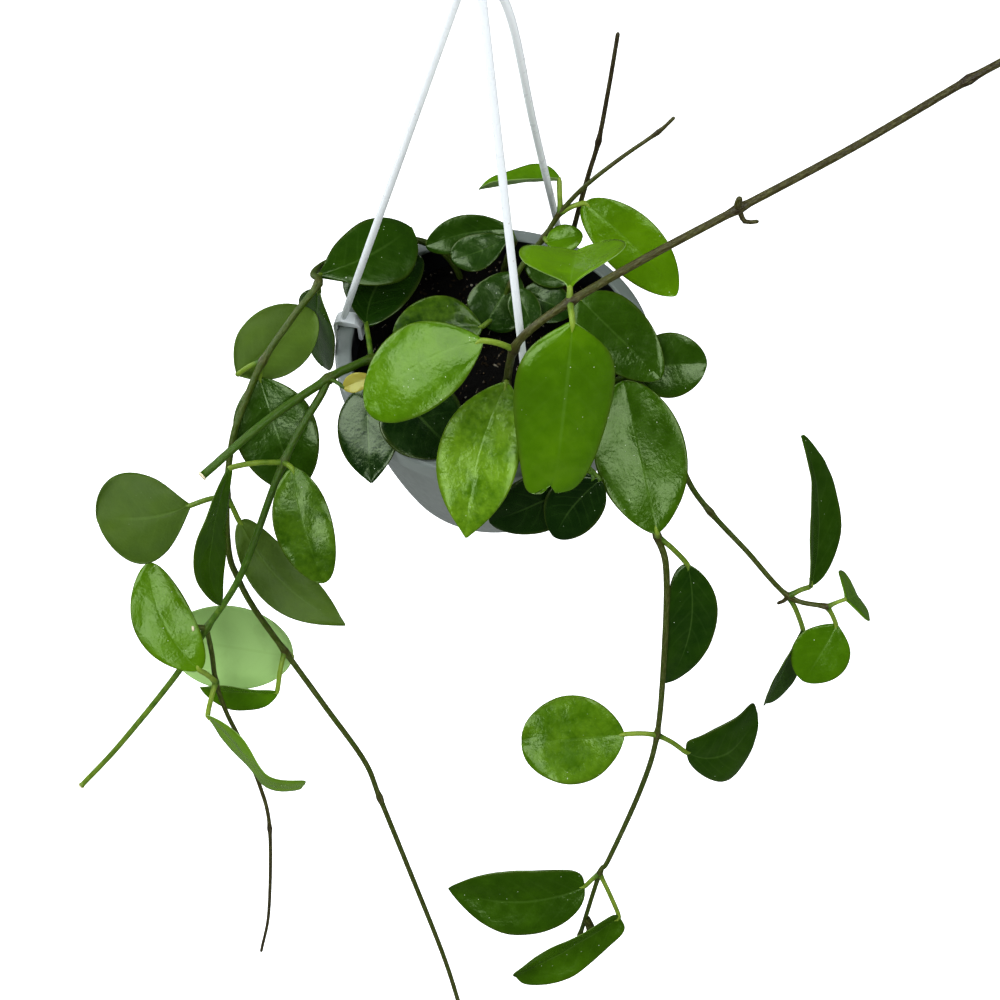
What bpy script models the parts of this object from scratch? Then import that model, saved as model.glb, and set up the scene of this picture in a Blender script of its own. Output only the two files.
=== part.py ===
"""A hoya growing in a plastic hanging pot, with its three-strand hanger.

Sizes and places are in millimetres, measured from the centre of the pot's rim:
X to the right, Y to the back, Z up. Every piece is parented to an empty there, which
is placed so that the world origin is where the hook rests on what carries it.
"""

import math
from typing import NamedTuple

import bpy
import numpy as np
from mathutils import Matrix, Vector

MM = 0.001
GAP = 0.3
CREASE = 40.0

RIM_RADIUS = 75.0
LIP_INNER_RADIUS = 67.0
LIP_DROP = 10.0
LIP_THICKNESS = 1.8
LIP_ROOT = 3.5
LIP_ROUND = 4.0
POT_HEIGHT = 88.0
POT_BASE_RADIUS = 51.0
WALL = 2.2
FOOT_RECESS = 2.5
FOOT_RING = 5.0
FOOT_CHAMFER = 2.0
BOWL_POWER = 1.75
POT_SEGMENTS = 32
BOWL_STEPS = 5

SOIL_LEVEL = -14.0
SOIL_MOUND = 3.0
SOIL_RINGS = 5
LUMP, FINE_LUMP = 0.9, 0.5
ROOT_ROOM = 0.4

HUB = Vector((-5.0, -4.0, 208.0))
HUB_RADIUS = 8.0
HUB_HALF = 7.0
SOCKET_DEPTH = 5.0
SOCKET_ROOM = 0.6
SHANK_COLLAR = 3.2
HUB_SEGMENTS = 16
STRAND_RADIUS = 1.65
STRAND_ANGLES = {"left": 169.7, "front": 285.0, "back": 64.0}
STRAND_FOOT = 6.0
# How far each strand bows to +X, halfway up and near the hub.
STRAND_BOWS = {"left": (0.0, 0.0), "front": (0.0, 0.0), "back": (2.5, 5.0)}
CLIP_WIDTH = 7.0
CLIP_THICKNESS = 2.2
CLIP_LEG = 13.0
CLIP_ROOM = 1.4
HOOK_WIRE = 2.4
HOOK_INNER_RADIUS = 9.0
HOOK_SHANK = 14.0
HOOK_START, HOOK_END = 214.0, -42.0
HOOK_STEPS = 12
HANG_POINT = HUB + Vector((0.0, 0.0, HUB_HALF + HOOK_SHANK + 2 * HOOK_WIRE + HOOK_INNER_RADIUS))

BLADE = 1.2
BLADE_ROWS = (0.0, 0.09, 0.28, 0.50, 0.72, 0.91, 1.0)
SMALL_BLADE_ROWS = (0.0, 0.16, 0.48, 0.82, 1.0)
SMALL_BLADE = 34.0
BLADE_COLUMNS = (-1.0, -0.5, 0.0, 0.5, 1.0)
SMALL_BLADE_COLUMNS = (-1.0, 0.0, 1.0)
BLADE_ROOT = 1.1
BLADE_WAVE = 0.012
OVAL_FULLNESS, NOTCHED_FULLNESS = 0.6, 0.42
POINT_START, POINT_SHARPNESS = 0.8, 0.35
NOTCH = 0.05
STALK_RADIUS = 1.3
STALK_ARCH = 0.08
STALK_SUNK = 0.10
STALK_TIP = 0.6
STEM_SIDES = 6
STALK_SIDES = 5
STEM_STEP = 17.0
STALK_STEP = 9.0
PLASTIC_SIDES = 8
JOINT_SWELL = 1.4
LIGHT_TILT = 57.0

FRONT, BACK = -90.0, 90.0


class Leaf(NamedTuple):
    """A leaf: the route point it grows from, its stalk, and its blade's size and pose.

    heading is the turn of the midrib from +X, rise its tilt above the horizontal, roll
    the turn about it away from the light, and fold how far the halves lift. curl drops
    the tip, widest is where along it the blade is widest, and a tip below 0 is notched.
    """

    at: int
    stalk: tuple
    length: float
    width: float
    heading: float
    rise: float
    roll: float = 0.0
    fold: float = 6.0
    curl: float = 0.10
    widest: float = 0.48
    tip: float = 0.6


class Stem(NamedTuple):
    """A stem: its route, its radius at both ends, its joints and what grows from it."""

    route: tuple
    radii: tuple
    joints: tuple = ()
    leaves: tuple = ()
    branches: tuple = ()
    faces: float = FRONT


BARE_SHOOT = Stem(
    route=(
        (35, 46, -34), (35, 46, -12), (36, 46, 20), (42, 51, 56), (46, 54, 76), (49, 58, 104),
        (51, 61, 128),
    ),
    radii=(1.5, 0.9),
    joints=(4,),
)

BACK_SHOOT = Stem(
    route=(
        (2, 18, -34), (2, 18, -12), (2, 19, -3), (5, 24, 6), (8, 27, 12), (16, 33, 25), (23, 36, 34),
        (30, 40, 46), (41, 43, 60), (56, 46, 74), (71, 48, 87), (77, 49, 94),
    ),
    radii=(1.7, 0.8),
    joints=(2, 4, 6, 7, 10),
    leaves=(
        Leaf(2, (-3, -6, 8), 30, 21, 41, 36),
        Leaf(2, (-6, -8, 8), 43, 28, -176, 9, fold=-6),
        Leaf(3, (8, 2, 1), 26, 20, -28, 0),
        Leaf(4, (2, -4, 1), 22, 15, -65, -20),
        Leaf(4, (6, 7, 7), 25, 18, -14, -5),
        Leaf(6, (3, -4, 3), 19, 13, 11, 12),
        Leaf(7, (1, 12, 13), 40, 25, 164, -17, roll=60, fold=30),
        Leaf(7, (11, 1, 5), 60, 42, -31, -33, fold=5),
    ),
)

LONG_SHOOT = Stem(
    route=(
        (3, -44, -34), (3, -44, -12), (4, -47, 14), (6, -53, 38), (9, -57, 67), (17, -55, 79),
        (31, -48, 86), (59, -35, 96), (97, -20, 110), (140, -3, 126), (184, 16, 144),
        (205, 24, 152), (222, 30, 158),
    ),
    radii=(1.8, 1.5),
    joints=(3, 4, 6, 8, 10),
    leaves=(
        Leaf(3, (-1, -6, 3), 64, 36, -108, -38, fold=10),
        Leaf(4, (-13, -3, 8), 55, 38, -158, -19, fold=-4),
        Leaf(6, (1, 11, 9), 38, 44, 74, -22, roll=-30, fold=22),
        Leaf(6, (0, -10, 1), 76, 44, -97, -57, fold=-6, widest=0.42, tip=-1.0),
    ),
    branches=(
        Stem(route=((97, -20, 110), (96, -21, 113), (96, -22, 117)), radii=(1.5, 1.3)),
        Stem(route=((97, -20, 110), (100, -22, 105), (105, -21, 104)), radii=(1.2, 0.8)),
    ),
)

INNER_SHOOT = Stem(
    route=((36, 8, -34), (36, 8, -12), (37, 5, 12), (38, 2, 27)),
    radii=(1.5, 1.2),
    joints=(3,),
    leaves=(Leaf(3, (-1, 0, 6), 54, 35, -45, -14, fold=5),),
)

LEFT_SHOOT = Stem(
    route=(
        (-45, -9, -34), (-45, -9, -12), (-48, -11, 0), (-56, -17, 9), (-65, -25, 13), (-74, -33, 15),
        (-99, -59, 18), (-124, -84, 13),
    ),
    radii=(2.1, 1.8),
    joints=(3, 5),
    leaves=(
        Leaf(3, (-5, 23, -2), 44, 34, 52, -8),
        Leaf(5, (8, -7, 3), 13, 9, 8, 25, fold=20),
    ),
    branches=(
        Stem(
            route=(
                (-74, -33, 15), (-77, -41, 13), (-86, -56, 7), (-93, -67, -2), (-98, -76, -10),
                (-114, -104, -39), (-131, -121, -59), (-147, -137, -77), (-176, -160, -105),
                (-197, -174, -124),
            ),
            radii=(1.8, 1.3),
            joints=(3, 6),
            leaves=(
                Leaf(3, (-21, -8, 8), 64, 30, -104, -44, roll=-64, fold=12),
                Leaf(3, (3, -6, 3), 53, 31, -75, -35, fold=8),
            ),
            branches=(
                Stem(route=((-131, -121, -59), (-134, -122, -56), (-136, -123, -55)), radii=(1.4, 1.2)),
                Stem(
                    route=(
                        (-131, -121, -59), (-130, -128, -72), (-130, -135, -87), (-127, -143, -102),
                        (-122, -151, -119), (-115, -164, -144), (-112, -178, -169), (-117, -205, -220),
                        (-123, -220, -244),
                    ),
                    radii=(1.2, 0.8),
                    joints=(2, 6),
                    leaves=(
                        Leaf(2, (-6, 1, 11), 54, 30, 126, 44, fold=10),
                        Leaf(2, (-4, -13, -11), 54, 27, -33, -24, roll=58, fold=15, curl=-0.12),
                    ),
                ),
            ),
        ),
    ),
)

LEFT_TRAILER = Stem(
    route=(
        (-18, 53, -34), (-18, 53, -12), (-28, 57, 3), (-45, 57, 10), (-64, 48, 13), (-79, 32, 20),
        (-83, 16, 30), (-79, 4, 37), (-90, -11, 31), (-103, -28, 21), (-111, -42, 10),
        (-117, -55, -1), (-121, -73, -21),
        (-122, -89, -44), (-119, -96, -56), (-113, -104, -70), (-100, -116, -92), (-82, -133, -119),
        (-64, -150, -147), (-57, -162, -167), (-44, -185, -205), (-26, -218, -256), (-16, -242, -291),
    ),
    radii=(1.7, 1.2),
    joints=(7, 9, 12, 16, 19),
    leaves=(
        Leaf(7, (-1, 11, -8), 56, 35, 44, -5, fold=-5),
        Leaf(7, (-1, 3, -9), 54, 30, -154, -80, roll=40),
        Leaf(9, (-12, -2, -7), 47, 32, 51, -3, roll=180, fold=-8),
        Leaf(9, (-2, -4, -7), 54, 38, -69, -46, fold=8),
        Leaf(12, (5, -7, -11), 68, 34, -34, -36, roll=170, fold=-10),
        Leaf(12, (-16, -6, -1), 42, 39, -169, 6, roll=180, fold=-5, widest=0.5),
        Leaf(16, (-2, -16, -8), 36, 25, 176, -8, roll=-45, fold=28),
        Leaf(16, (4, -3, 1), 57, 38, 168, 9, roll=180, fold=-6),
    ),
)

FRONT_LEFT_SHOOT = Stem(
    route=((-32, -34, -34), (-32, -34, -12), (-35, -34, -4), (-38, -33, 2)),
    radii=(1.5, 1.3),
    joints=(3,),
    leaves=(
        Leaf(3, (-19, 1, 10), 46, 33, -85, -19, fold=8),
        Leaf(3, (-2, -2, 11), 42, 32, -34, -8, roll=-12, fold=6),
    ),
)

FRONT_SHOOT = Stem(
    route=((24, -51, -34), (24, -51, -12), (27, -56, 3), (35, -68, 8)),
    radii=(1.5, 1.3),
    joints=(3,),
    leaves=(
        Leaf(3, (7, -12, -1), 48, 32, -160, -18, fold=6),
        Leaf(3, (-8, -14, -3), 36, 30, -40, -30, fold=6),
    ),
)

FRONT_RIGHT_TRAILER = Stem(
    route=(
        (37, -42, -34), (37, -42, -12), (41, -47, 3), (50, -58, 11), (64, -74, 2), (75, -88, -28),
        (80, -98, -42), (82, -119, -81), (82, -142, -129), (76, -158, -163), (62, -180, -209),
        (58, -184, -219), (49, -206, -260),
    ),
    radii=(1.7, 1.2),
    joints=(5, 8, 11, 12),
    leaves=(
        Leaf(5, (-1, 0, 7), 68, 43, 108, 40, fold=9, widest=0.5),
        Leaf(5, (14, -7, -15), 62, 32, -86, -56, roll=35, fold=8),
        Leaf(8, (-17, -2, 4), 52, 43, -172, 7, fold=5, widest=0.5),
        Leaf(8, (16, -4, -9), 40, 33, 10, 8, fold=8),
        Leaf(11, (-9, -5, -6), 74, 36, -174, 3, fold=8, widest=0.5),
        Leaf(11, (9, -18, -21), 62, 34, -150, -15, roll=-20, fold=30),
    ),
    branches=(Stem(route=((52, -200, -248), (57, -204, -250), (61, -207, -253)), radii=(1.6, 1.9)),),
)

RIGHT_TRAILER = Stem(
    route=(
        (54, -21, -34), (54, -21, -12), (57, -23, 3), (65, -29, 10), (79, -44, 2), (89, -65, -25),
        (101, -71, -34), (119, -82, -50), (141, -96, -69), (159, -101, -70),
    ),
    radii=(1.5, 1.2),
    joints=(3, 6, 8, 9),
    leaves=(
        Leaf(3, (2, 7, 1), 30, 32, 4, 5, widest=0.5),
        Leaf(8, (10, 3, 4), 73, 31, 98, 44, roll=50, fold=12, curl=-0.12),
        Leaf(8, (8, -7, -14), 44, 23, -122, -48, roll=-62, fold=10),
        Leaf(9, (7, 2, 6), 17, 25, -20, 5, fold=38),
        Leaf(9, (5, -4, -9), 32, 28, -130, -35, widest=0.5),
    ),
    branches=(Stem(route=((141, -96, -69), (138, -97, -73), (134, -97, -76)), radii=(1.2, 0.9)),),
)

REAR_SHOOT = Stem(
    route=((3, 50, -34), (3, 50, -12), (6, 53, 2), (9, 57, 9)),
    radii=(1.6, 1.4),
    joints=(3,),
    leaves=(
        Leaf(3, (-3, -1, 7), 42, 26, -174, 2, roll=-32),
        Leaf(3, (-3, -6, 2), 34.5, 24, -157, -4),
    ),
    branches=(
        Stem(
            route=(
                (9, 57, 9), (2, 68, 13), (-7, 80, 7), (-14, 88, -10), (-20, 94, -36), (-23, 99, -68),
                (-19, 102, -98),
            ),
            radii=(1.4, 1.0),
            joints=(4, 5, 6),
            leaves=(
                Leaf(4, (-9, 5, -4), 43, 32, 172, -42),
                Leaf(4, (10, 5, -4), 46, 33, 15, -48),
                Leaf(6, (8, 5, -6), 44, 31, 30, -55),
                Leaf(6, (-7, 4, -9), 38, 27, 150, -62),
            ),
            faces=BACK,
        ),
    ),
)

# Every stem that comes out of the soil, by the name of its node.
PLANT = {
    "bare_shoot": BARE_SHOOT,
    "back_shoot": BACK_SHOOT,
    "long_shoot": LONG_SHOOT,
    "inner_shoot": INNER_SHOOT,
    "left_shoot": LEFT_SHOOT,
    "left_trailer": LEFT_TRAILER,
    "front_left_shoot": FRONT_LEFT_SHOOT,
    "front_shoot": FRONT_SHOOT,
    "front_right_trailer": FRONT_RIGHT_TRAILER,
    "right_trailer": RIGHT_TRAILER,
    "rear_shoot": REAR_SHOOT,
}


MATERIALS = {
    "charcoal_plastic": ((0.030, 0.033, 0.036), 0.42),
    "peat": ((0.020, 0.014, 0.010), 0.95),
    "white_plastic": ((0.80, 0.80, 0.78), 0.35),
    "mature_leaf": ((0.035, 0.105, 0.014), 0.33),
    "young_leaf": ((0.16, 0.36, 0.012), 0.30),
    "purple_stem": ((0.075, 0.045, 0.035), 0.50),
}
SHOOT_MATERIALS = {
    "bare_shoot": "purple_stem",
    "back_shoot": "young_leaf",
    "long_shoot": "young_leaf",
}


def clear_scene():
    for obj in list(bpy.data.objects):
        bpy.data.objects.remove(obj, do_unlink=True)


def make_material(name):
    colour, roughness = MATERIALS[name]
    material = bpy.data.materials.new(name)
    material.use_nodes = True
    shader = material.node_tree.nodes["Principled BSDF"]
    shader.inputs["Base Color"].default_value = (*colour, 1.0)
    shader.inputs["Roughness"].default_value = roughness
    shader.inputs["Metallic"].default_value = 0.0
    return material


def add_rim_centre():
    """The empty that every piece is parented to."""
    centre = bpy.data.objects.new("rim_centre", None)
    centre.location = -HANG_POINT * MM
    bpy.context.scene.collection.objects.link(centre)


def shade(mesh):
    """Smooth shading, with the creases kept sharp."""
    mesh.shade_smooth()
    mesh.set_sharp_from_angle(angle=math.radians(CREASE))


def add_object(name, points, faces, material, collection=None):
    """An object from points in millimetres about the rim's centre, in a collection or the scene."""
    mesh = bpy.data.meshes.new(name)
    mesh.from_pydata([Vector(p) * MM for p in points], [], faces)
    mesh.materials.append(material)
    shade(mesh)
    obj = bpy.data.objects.new(name, mesh)
    obj.parent = bpy.data.objects["rim_centre"]
    (collection or bpy.context.scene.collection).objects.link(obj)
    return obj


def combine(base, operation, shapes, solver="EXACT"):
    """One Boolean on a collection of shapes, applied to base; the shapes are removed."""
    shelf = bpy.data.collections.new("shapes")
    bpy.context.scene.collection.children.link(shelf)
    for points, faces in shapes:
        add_object("shape", points, faces, base.data.materials[0], shelf)
    modifier = base.modifiers.new("combine", "BOOLEAN")
    modifier.operation = operation
    modifier.operand_type = "COLLECTION"
    modifier.collection = shelf
    modifier.solver = solver
    graph = bpy.context.evaluated_depsgraph_get()
    mesh = bpy.data.meshes.new_from_object(base.evaluated_get(graph), depsgraph=graph)
    base.modifiers.clear()
    base.data = mesh
    mesh.name = base.name
    for obj in list(shelf.objects):
        bpy.data.objects.remove(obj, do_unlink=True)
    bpy.data.collections.remove(shelf)
    shade(mesh)


def turned(profile, segments, centre=(0.0, 0.0)):
    """Points and faces of a profile of (radius, height) turned about a vertical axis.

    The profile runs from the axis, round the outside, back to the axis.
    """
    points, rings = [], []
    for radius, height in profile:
        if radius == 0:
            points.append((centre[0], centre[1], height))
            rings.append([len(points) - 1] * segments)
            continue
        ring = []
        for i in range(segments):
            angle = 2 * math.pi * i / segments
            points.append(
                (centre[0] + radius * math.cos(angle), centre[1] + radius * math.sin(angle), height)
            )
            ring.append(len(points) - 1)
        rings.append(ring)
    faces = []
    for low, high in zip(rings, rings[1:]):
        for i in range(segments):
            j = (i + 1) % segments
            corners = (low[i], low[j], high[j], high[i])
            faces.append(tuple(dict.fromkeys(corners)))
    return points, faces


def smooth_route(points, step):
    """Points of a Catmull-Rom curve through the route, and the index of each route point."""
    route = [Vector(p) for p in points]
    ends = [2 * route[0] - route[1]] + route + [2 * route[-1] - route[-2]]
    found, places = [], []
    for a, b, c, d in zip(ends, ends[1:], ends[2:], ends[3:]):
        places.append(len(found))
        count = max(1, round((c - b).length / step))
        for i in range(count):
            t = i / count
            bend, twist = 2 * a - 5 * b + 4 * c - d, 3 * b - a - 3 * c + d
            found.append(0.5 * (2 * b + (c - a) * t + bend * t**2 + twist * t**3))
    places.append(len(found))
    found.append(route[-1])
    return found, places


def tube(centres, radii, sides):
    """Points and faces of a closed tube along the centres, with a radius for each."""
    points, faces = [], []
    ahead = (centres[1] - centres[0]).normalized()
    across = ahead.orthogonal().normalized()
    for k, (centre, radius) in enumerate(zip(centres, radii)):
        before, after = centres[max(k - 1, 0)], centres[min(k + 1, len(centres) - 1)]
        turned_to = (after - before).normalized()
        across = (across - turned_to * across.dot(turned_to)).normalized()
        up = turned_to.cross(across)
        for i in range(sides):
            angle = 2 * math.pi * i / sides
            points.append(centre + radius * (across * math.cos(angle) + up * math.sin(angle)))
    for k in range(len(centres) - 1):
        for i in range(sides):
            j = (i + 1) % sides
            a, b = k * sides + i, k * sides + j
            faces.append((a, b, b + sides, a + sides))
    faces.append(tuple(reversed(range(sides))))
    last = (len(centres) - 1) * sides
    faces.append(tuple(range(last, last + sides)))
    return points, faces


def stem_tube(stem):
    """A stem's tube, tapered from end to end and swollen at its joints."""
    centres, places = smooth_route(stem.route, STEM_STEP)
    joints = {places[j] for j in stem.joints}
    start, end = stem.radii
    last = len(centres) - 1
    radii = []
    for k in range(len(centres)):
        radius = start + (end - start) * k / last
        radii.append(radius * JOINT_SWELL if k in joints else radius)
    return tube(centres, radii, STEM_SIDES)


def blade_frame(leaf, faces):
    """Directions along the midrib, across the blade and out of its upper face."""
    heading, rise = math.radians(leaf.heading), math.radians(leaf.rise)
    along = Vector(
        (math.cos(rise) * math.cos(heading), math.cos(rise) * math.sin(heading), math.sin(rise))
    )
    tilt, turn = math.radians(LIGHT_TILT), math.radians(faces)
    light = Vector((math.cos(tilt) * math.cos(turn), math.cos(tilt) * math.sin(turn), math.sin(tilt)))
    upper = (light - along * light.dot(along)).normalized()
    upper = Matrix.Rotation(math.radians(leaf.roll), 3, along) @ upper
    return along, upper.cross(along), upper


def half_width(leaf, t):
    """The blade's half width at t along the midrib: an oval with its own widest point."""
    power = math.log(0.5) / math.log(leaf.widest)
    fullness = OVAL_FULLNESS if leaf.tip > 0 else NOTCHED_FULLNESS
    oval = max(math.sin(math.pi * t**power), 0.0) ** fullness
    near_tip = max(0.0, (t - POINT_START) / (1 - POINT_START))
    point = 1.0 - POINT_SHARPNESS * max(leaf.tip, 0.0) * near_tip
    return BLADE_ROOT + (leaf.width / 2 - BLADE_ROOT) * oval * point


def blade_point(leaf, t, s):
    """A point of the blade's middle surface, in its own frame, t along and s across."""
    half = half_width(leaf, t)
    fold = math.radians(leaf.fold)
    notch = NOTCH * leaf.length * min(leaf.tip, 0.0) * (1 - abs(s)) * t**8
    along = leaf.length * t + notch
    across = s * half * math.cos(fold)
    wave = BLADE_WAVE * leaf.length * math.sin(3 * math.pi * t + 1.3 * s) * s * s
    lift = abs(s) ** 1.4 * half * math.sin(fold) - leaf.curl * leaf.length * t * t + wave
    return np.array((along, across, lift))


def blade(leaf, base, faces_to):
    """Points and triangles of one leaf blade, an even thickness about its middle surface."""
    small = leaf.length <= SMALL_BLADE
    rows = SMALL_BLADE_ROWS if small else BLADE_ROWS
    across_blade = SMALL_BLADE_COLUMNS if small else BLADE_COLUMNS
    columns = len(across_blade)
    grid = np.array([[blade_point(leaf, t, s) for s in across_blade] for t in rows])
    along, across = np.gradient(grid, axis=0), np.gradient(grid, axis=1)
    normal = np.cross(along, across)
    normal /= np.linalg.norm(normal, axis=2, keepdims=True)
    frame = blade_frame(leaf, faces_to)
    points = []
    for side in (0.5, -0.5):
        for x, y, z in (grid + side * BLADE * normal).reshape(-1, 3):
            points.append(Vector(base) + frame[0] * x + frame[1] * y + frame[2] * z)
    faces = []
    below = len(rows) * columns
    for r in range(len(rows) - 1):
        for c in range(columns - 1):
            a = r * columns + c
            b, d, e = a + 1, a + columns, a + columns + 1
            faces += [(a, d, e), (a, e, b)]
            faces += [(a + below, e + below, d + below), (a + below, b + below, e + below)]
    edge = list(range(columns))
    edge += [r * columns + columns - 1 for r in range(1, len(rows))]
    edge += [(len(rows) - 1) * columns + c for c in range(columns - 2, -1, -1)]
    edge += [r * columns for r in range(len(rows) - 2, 0, -1)]
    for a, b in zip(edge, edge[1:] + edge[:1]):
        faces += [(a, b, b + below), (a, b + below, a + below)]
    return points, faces


def stalk(leaf, start, base, faces_to):
    """Points and faces of a leaf stalk, arched a little and sunk along the midrib."""
    along, _, upper = blade_frame(leaf, faces_to)
    middle = (start + base) / 2 + Vector((0, 0, STALK_ARCH * (base - start).length))
    sunk = base + along * (STALK_SUNK * leaf.length)
    centres, _ = smooth_route((start, middle, base, sunk), STALK_STEP)
    radii = [STALK_RADIUS] * len(centres)
    radii[-1] = STALK_RADIUS * STALK_TIP
    return tube(centres, radii, STALK_SIDES)


def pieces_of(stem):
    """Every solid that a stem is fused from, its branches and leaves among them."""
    pieces = [stem_tube(stem)]
    for leaf in stem.leaves:
        start = Vector(stem.route[leaf.at])
        base = start + Vector(leaf.stalk)
        pieces.append(stalk(leaf, start, base, stem.faces))
        pieces.append(blade(leaf, base, stem.faces))
    for branch in stem.branches:
        pieces += pieces_of(branch)
    return pieces


def build_plant(materials):
    """One node for each stem that comes out of the soil, with all that grows from it."""
    for name, stem in PLANT.items():
        first, *others = pieces_of(stem)
        obj = add_object(name, *first, materials[SHOOT_MATERIALS.get(name, "mature_leaf")])
        if others:
            combine(obj, "UNION", others, solver="MANIFOLD")


def bowl_radius(depth):
    """The pot's outer radius at a depth below the rim: a bowl that narrows to its foot."""
    t = min(max(depth / POT_HEIGHT, 0.0), 1.0)
    top = LIP_INNER_RADIUS + WALL
    return top - (top - POT_BASE_RADIUS) * t**BOWL_POWER


def bowl_curve(inset, top, bottom):
    """Points of the bowl's wall from one depth to another, moved in by an inset."""
    steps = [top + (bottom - top) * i / BOWL_STEPS for i in range(BOWL_STEPS + 1)]
    return [(bowl_radius(depth) - inset, -depth) for depth in steps]


def build_pot(material):
    """The bowl, with a recessed foot and a broad lip that turns down outside it."""
    floor = -POT_HEIGHT + FOOT_RECESS
    ring = POT_BASE_RADIUS - FOOT_RING
    outer = [(0, floor), (ring - FOOT_CHAMFER, floor), (ring, -POT_HEIGHT)]
    outer += bowl_curve(0.0, POT_HEIGHT, LIP_ROOT)
    lip = [
        (RIM_RADIUS - LIP_THICKNESS, -LIP_ROOT - 0.5),
        (RIM_RADIUS - LIP_THICKNESS, -LIP_DROP),
        (RIM_RADIUS, -LIP_DROP),
        (RIM_RADIUS, -0.4 * LIP_ROUND),
        (RIM_RADIUS - 0.3 * LIP_ROUND, -0.08 * LIP_ROUND),
        (RIM_RADIUS - LIP_ROUND, 0.0),
        (LIP_INNER_RADIUS + 1.0, 0.0),
        (LIP_INNER_RADIUS, -0.9),
    ]
    inner = bowl_curve(WALL, LIP_ROOT, POT_HEIGHT - FOOT_RECESS - WALL)
    inner += [(0, floor + WALL)]
    add_object("pot", *turned(outer + lip + inner, POT_SEGMENTS), material)


def soil_top(radius):
    """Height of the soil's surface: a low mound, lower at the wall."""
    return SOIL_LEVEL + SOIL_MOUND * (1 - (radius / LIP_INNER_RADIUS) ** 2)


def build_soil(material):
    """Soil that fills the bowl, with a lumpy top and a plain hole for each stem."""
    deepest = POT_HEIGHT - FOOT_RECESS - WALL - GAP
    profile = [(0, -deepest)] + bowl_curve(WALL + GAP, deepest - 0.5, -SOIL_LEVEL)
    edge = profile[-1][0]
    for i in range(1, SOIL_RINGS):
        radius = edge * (1 - i / SOIL_RINGS)
        profile.append((radius, soil_top(radius)))
    profile.append((0, soil_top(0)))
    points, faces = turned(profile, POT_SEGMENTS)
    lumpy = []
    for x, y, z in points:
        inside = math.hypot(x, y) < edge - 1 and z > SOIL_LEVEL - 1
        lump = LUMP * math.sin(0.31 * x + 1) * math.cos(0.27 * y)
        lump += FINE_LUMP * math.sin(0.7 * x - 0.6 * y)
        lumpy.append((x, y, z + lump) if inside else (x, y, z))
    obj = add_object("soil", lumpy, faces, material)
    holes = []
    for stem in PLANT.values():
        foot = Vector(stem.route[0])
        room = (max(stem.radii) + ROOT_ROOM) / math.cos(math.pi / PLASTIC_SIDES)
        low, high = foot.z - GAP, SOIL_LEVEL + 3 * SOIL_MOUND
        profile = ((0, low), (room, low), (room, high), (0, high))
        holes.append(turned(profile, PLASTIC_SIDES, (foot.x, foot.y)))
    combine(obj, "DIFFERENCE", holes)


def strand_route(name):
    """A strand's centre line, from its foot on the rim clip up into the hub."""
    angle, (bow_half, bow_high) = STRAND_ANGLES[name], STRAND_BOWS[name]
    turn = math.radians(angle)
    out = Vector((math.cos(turn), math.sin(turn), 0))
    middle = (RIM_RADIUS + LIP_INNER_RADIUS) / 2
    foot = out * middle + Vector((0, 0, CLIP_THICKNESS))
    top = HUB + out * (HUB_RADIUS - SOCKET_DEPTH) - Vector((0, 0, 1.0))
    knee = foot + Vector((0, 0, STRAND_FOOT))
    half = knee.lerp(top, 0.5) + Vector((bow_half, 0, 0))
    high = knee.lerp(top, 0.85) + Vector((bow_high, 0, 0))
    return [foot, knee, half, high, top]


def clip_shape(angle):
    """A strand's clip: a saddle over the pot's lip with a leg on each side of it."""
    inner, outer = LIP_INNER_RADIUS - CLIP_ROOM, RIM_RADIUS + GAP
    thick = CLIP_THICKNESS
    outline = [
        (outer + thick, thick + GAP), (outer + thick, -CLIP_LEG), (outer + 0.4 * thick, -CLIP_LEG - 1),
        (outer, -CLIP_LEG), (outer, GAP), (inner, GAP), (inner, 0.6 * -CLIP_LEG),
        (inner - 0.6 * thick, 0.6 * -CLIP_LEG - 1), (inner - thick, 0.6 * -CLIP_LEG),
        (inner - thick, thick + GAP),
    ]
    turn = Matrix.Rotation(math.radians(angle), 3, "Z")
    points = []
    for side in (-CLIP_WIDTH / 2, CLIP_WIDTH / 2):
        points += [turn @ Vector((radius, side, height)) for radius, height in outline]
    count = len(outline)
    faces = [tuple(range(count)), tuple(range(2 * count - 1, count - 1, -1))]
    faces += [(i, i + count, (i + 1) % count + count, (i + 1) % count) for i in range(count)]
    return points, faces


def build_strands(material):
    """Three strands, each moulded in one with the clip that holds the pot's lip."""
    for name, angle in STRAND_ANGLES.items():
        centres, _ = smooth_route(strand_route(name), STEM_STEP)
        strand = tube(centres, [STRAND_RADIUS] * len(centres), PLASTIC_SIDES)
        obj = add_object(f"strand_{name}", *strand, material)
        combine(obj, "UNION", [clip_shape(angle)])


def hook_route():
    """The hook's centre line: up the shank, round the bight and down to the open tip."""
    radius = HOOK_INNER_RADIUS + HOOK_WIRE
    centre = HANG_POINT - Vector((0, 0, HOOK_INNER_RADIUS))
    shank = [HUB, HUB + Vector((0, 0, HUB_HALF + HOOK_SHANK - 8))]
    shank += [centre + Vector((-0.38 * radius, 0, -1.06 * radius))]
    bight = []
    for i in range(HOOK_STEPS + 1):
        angle = math.radians(HOOK_START + (HOOK_END - HOOK_START) * i / HOOK_STEPS)
        bight.append(centre + radius * Vector((math.cos(angle), 0, math.sin(angle))))
    return shank + bight


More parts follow.
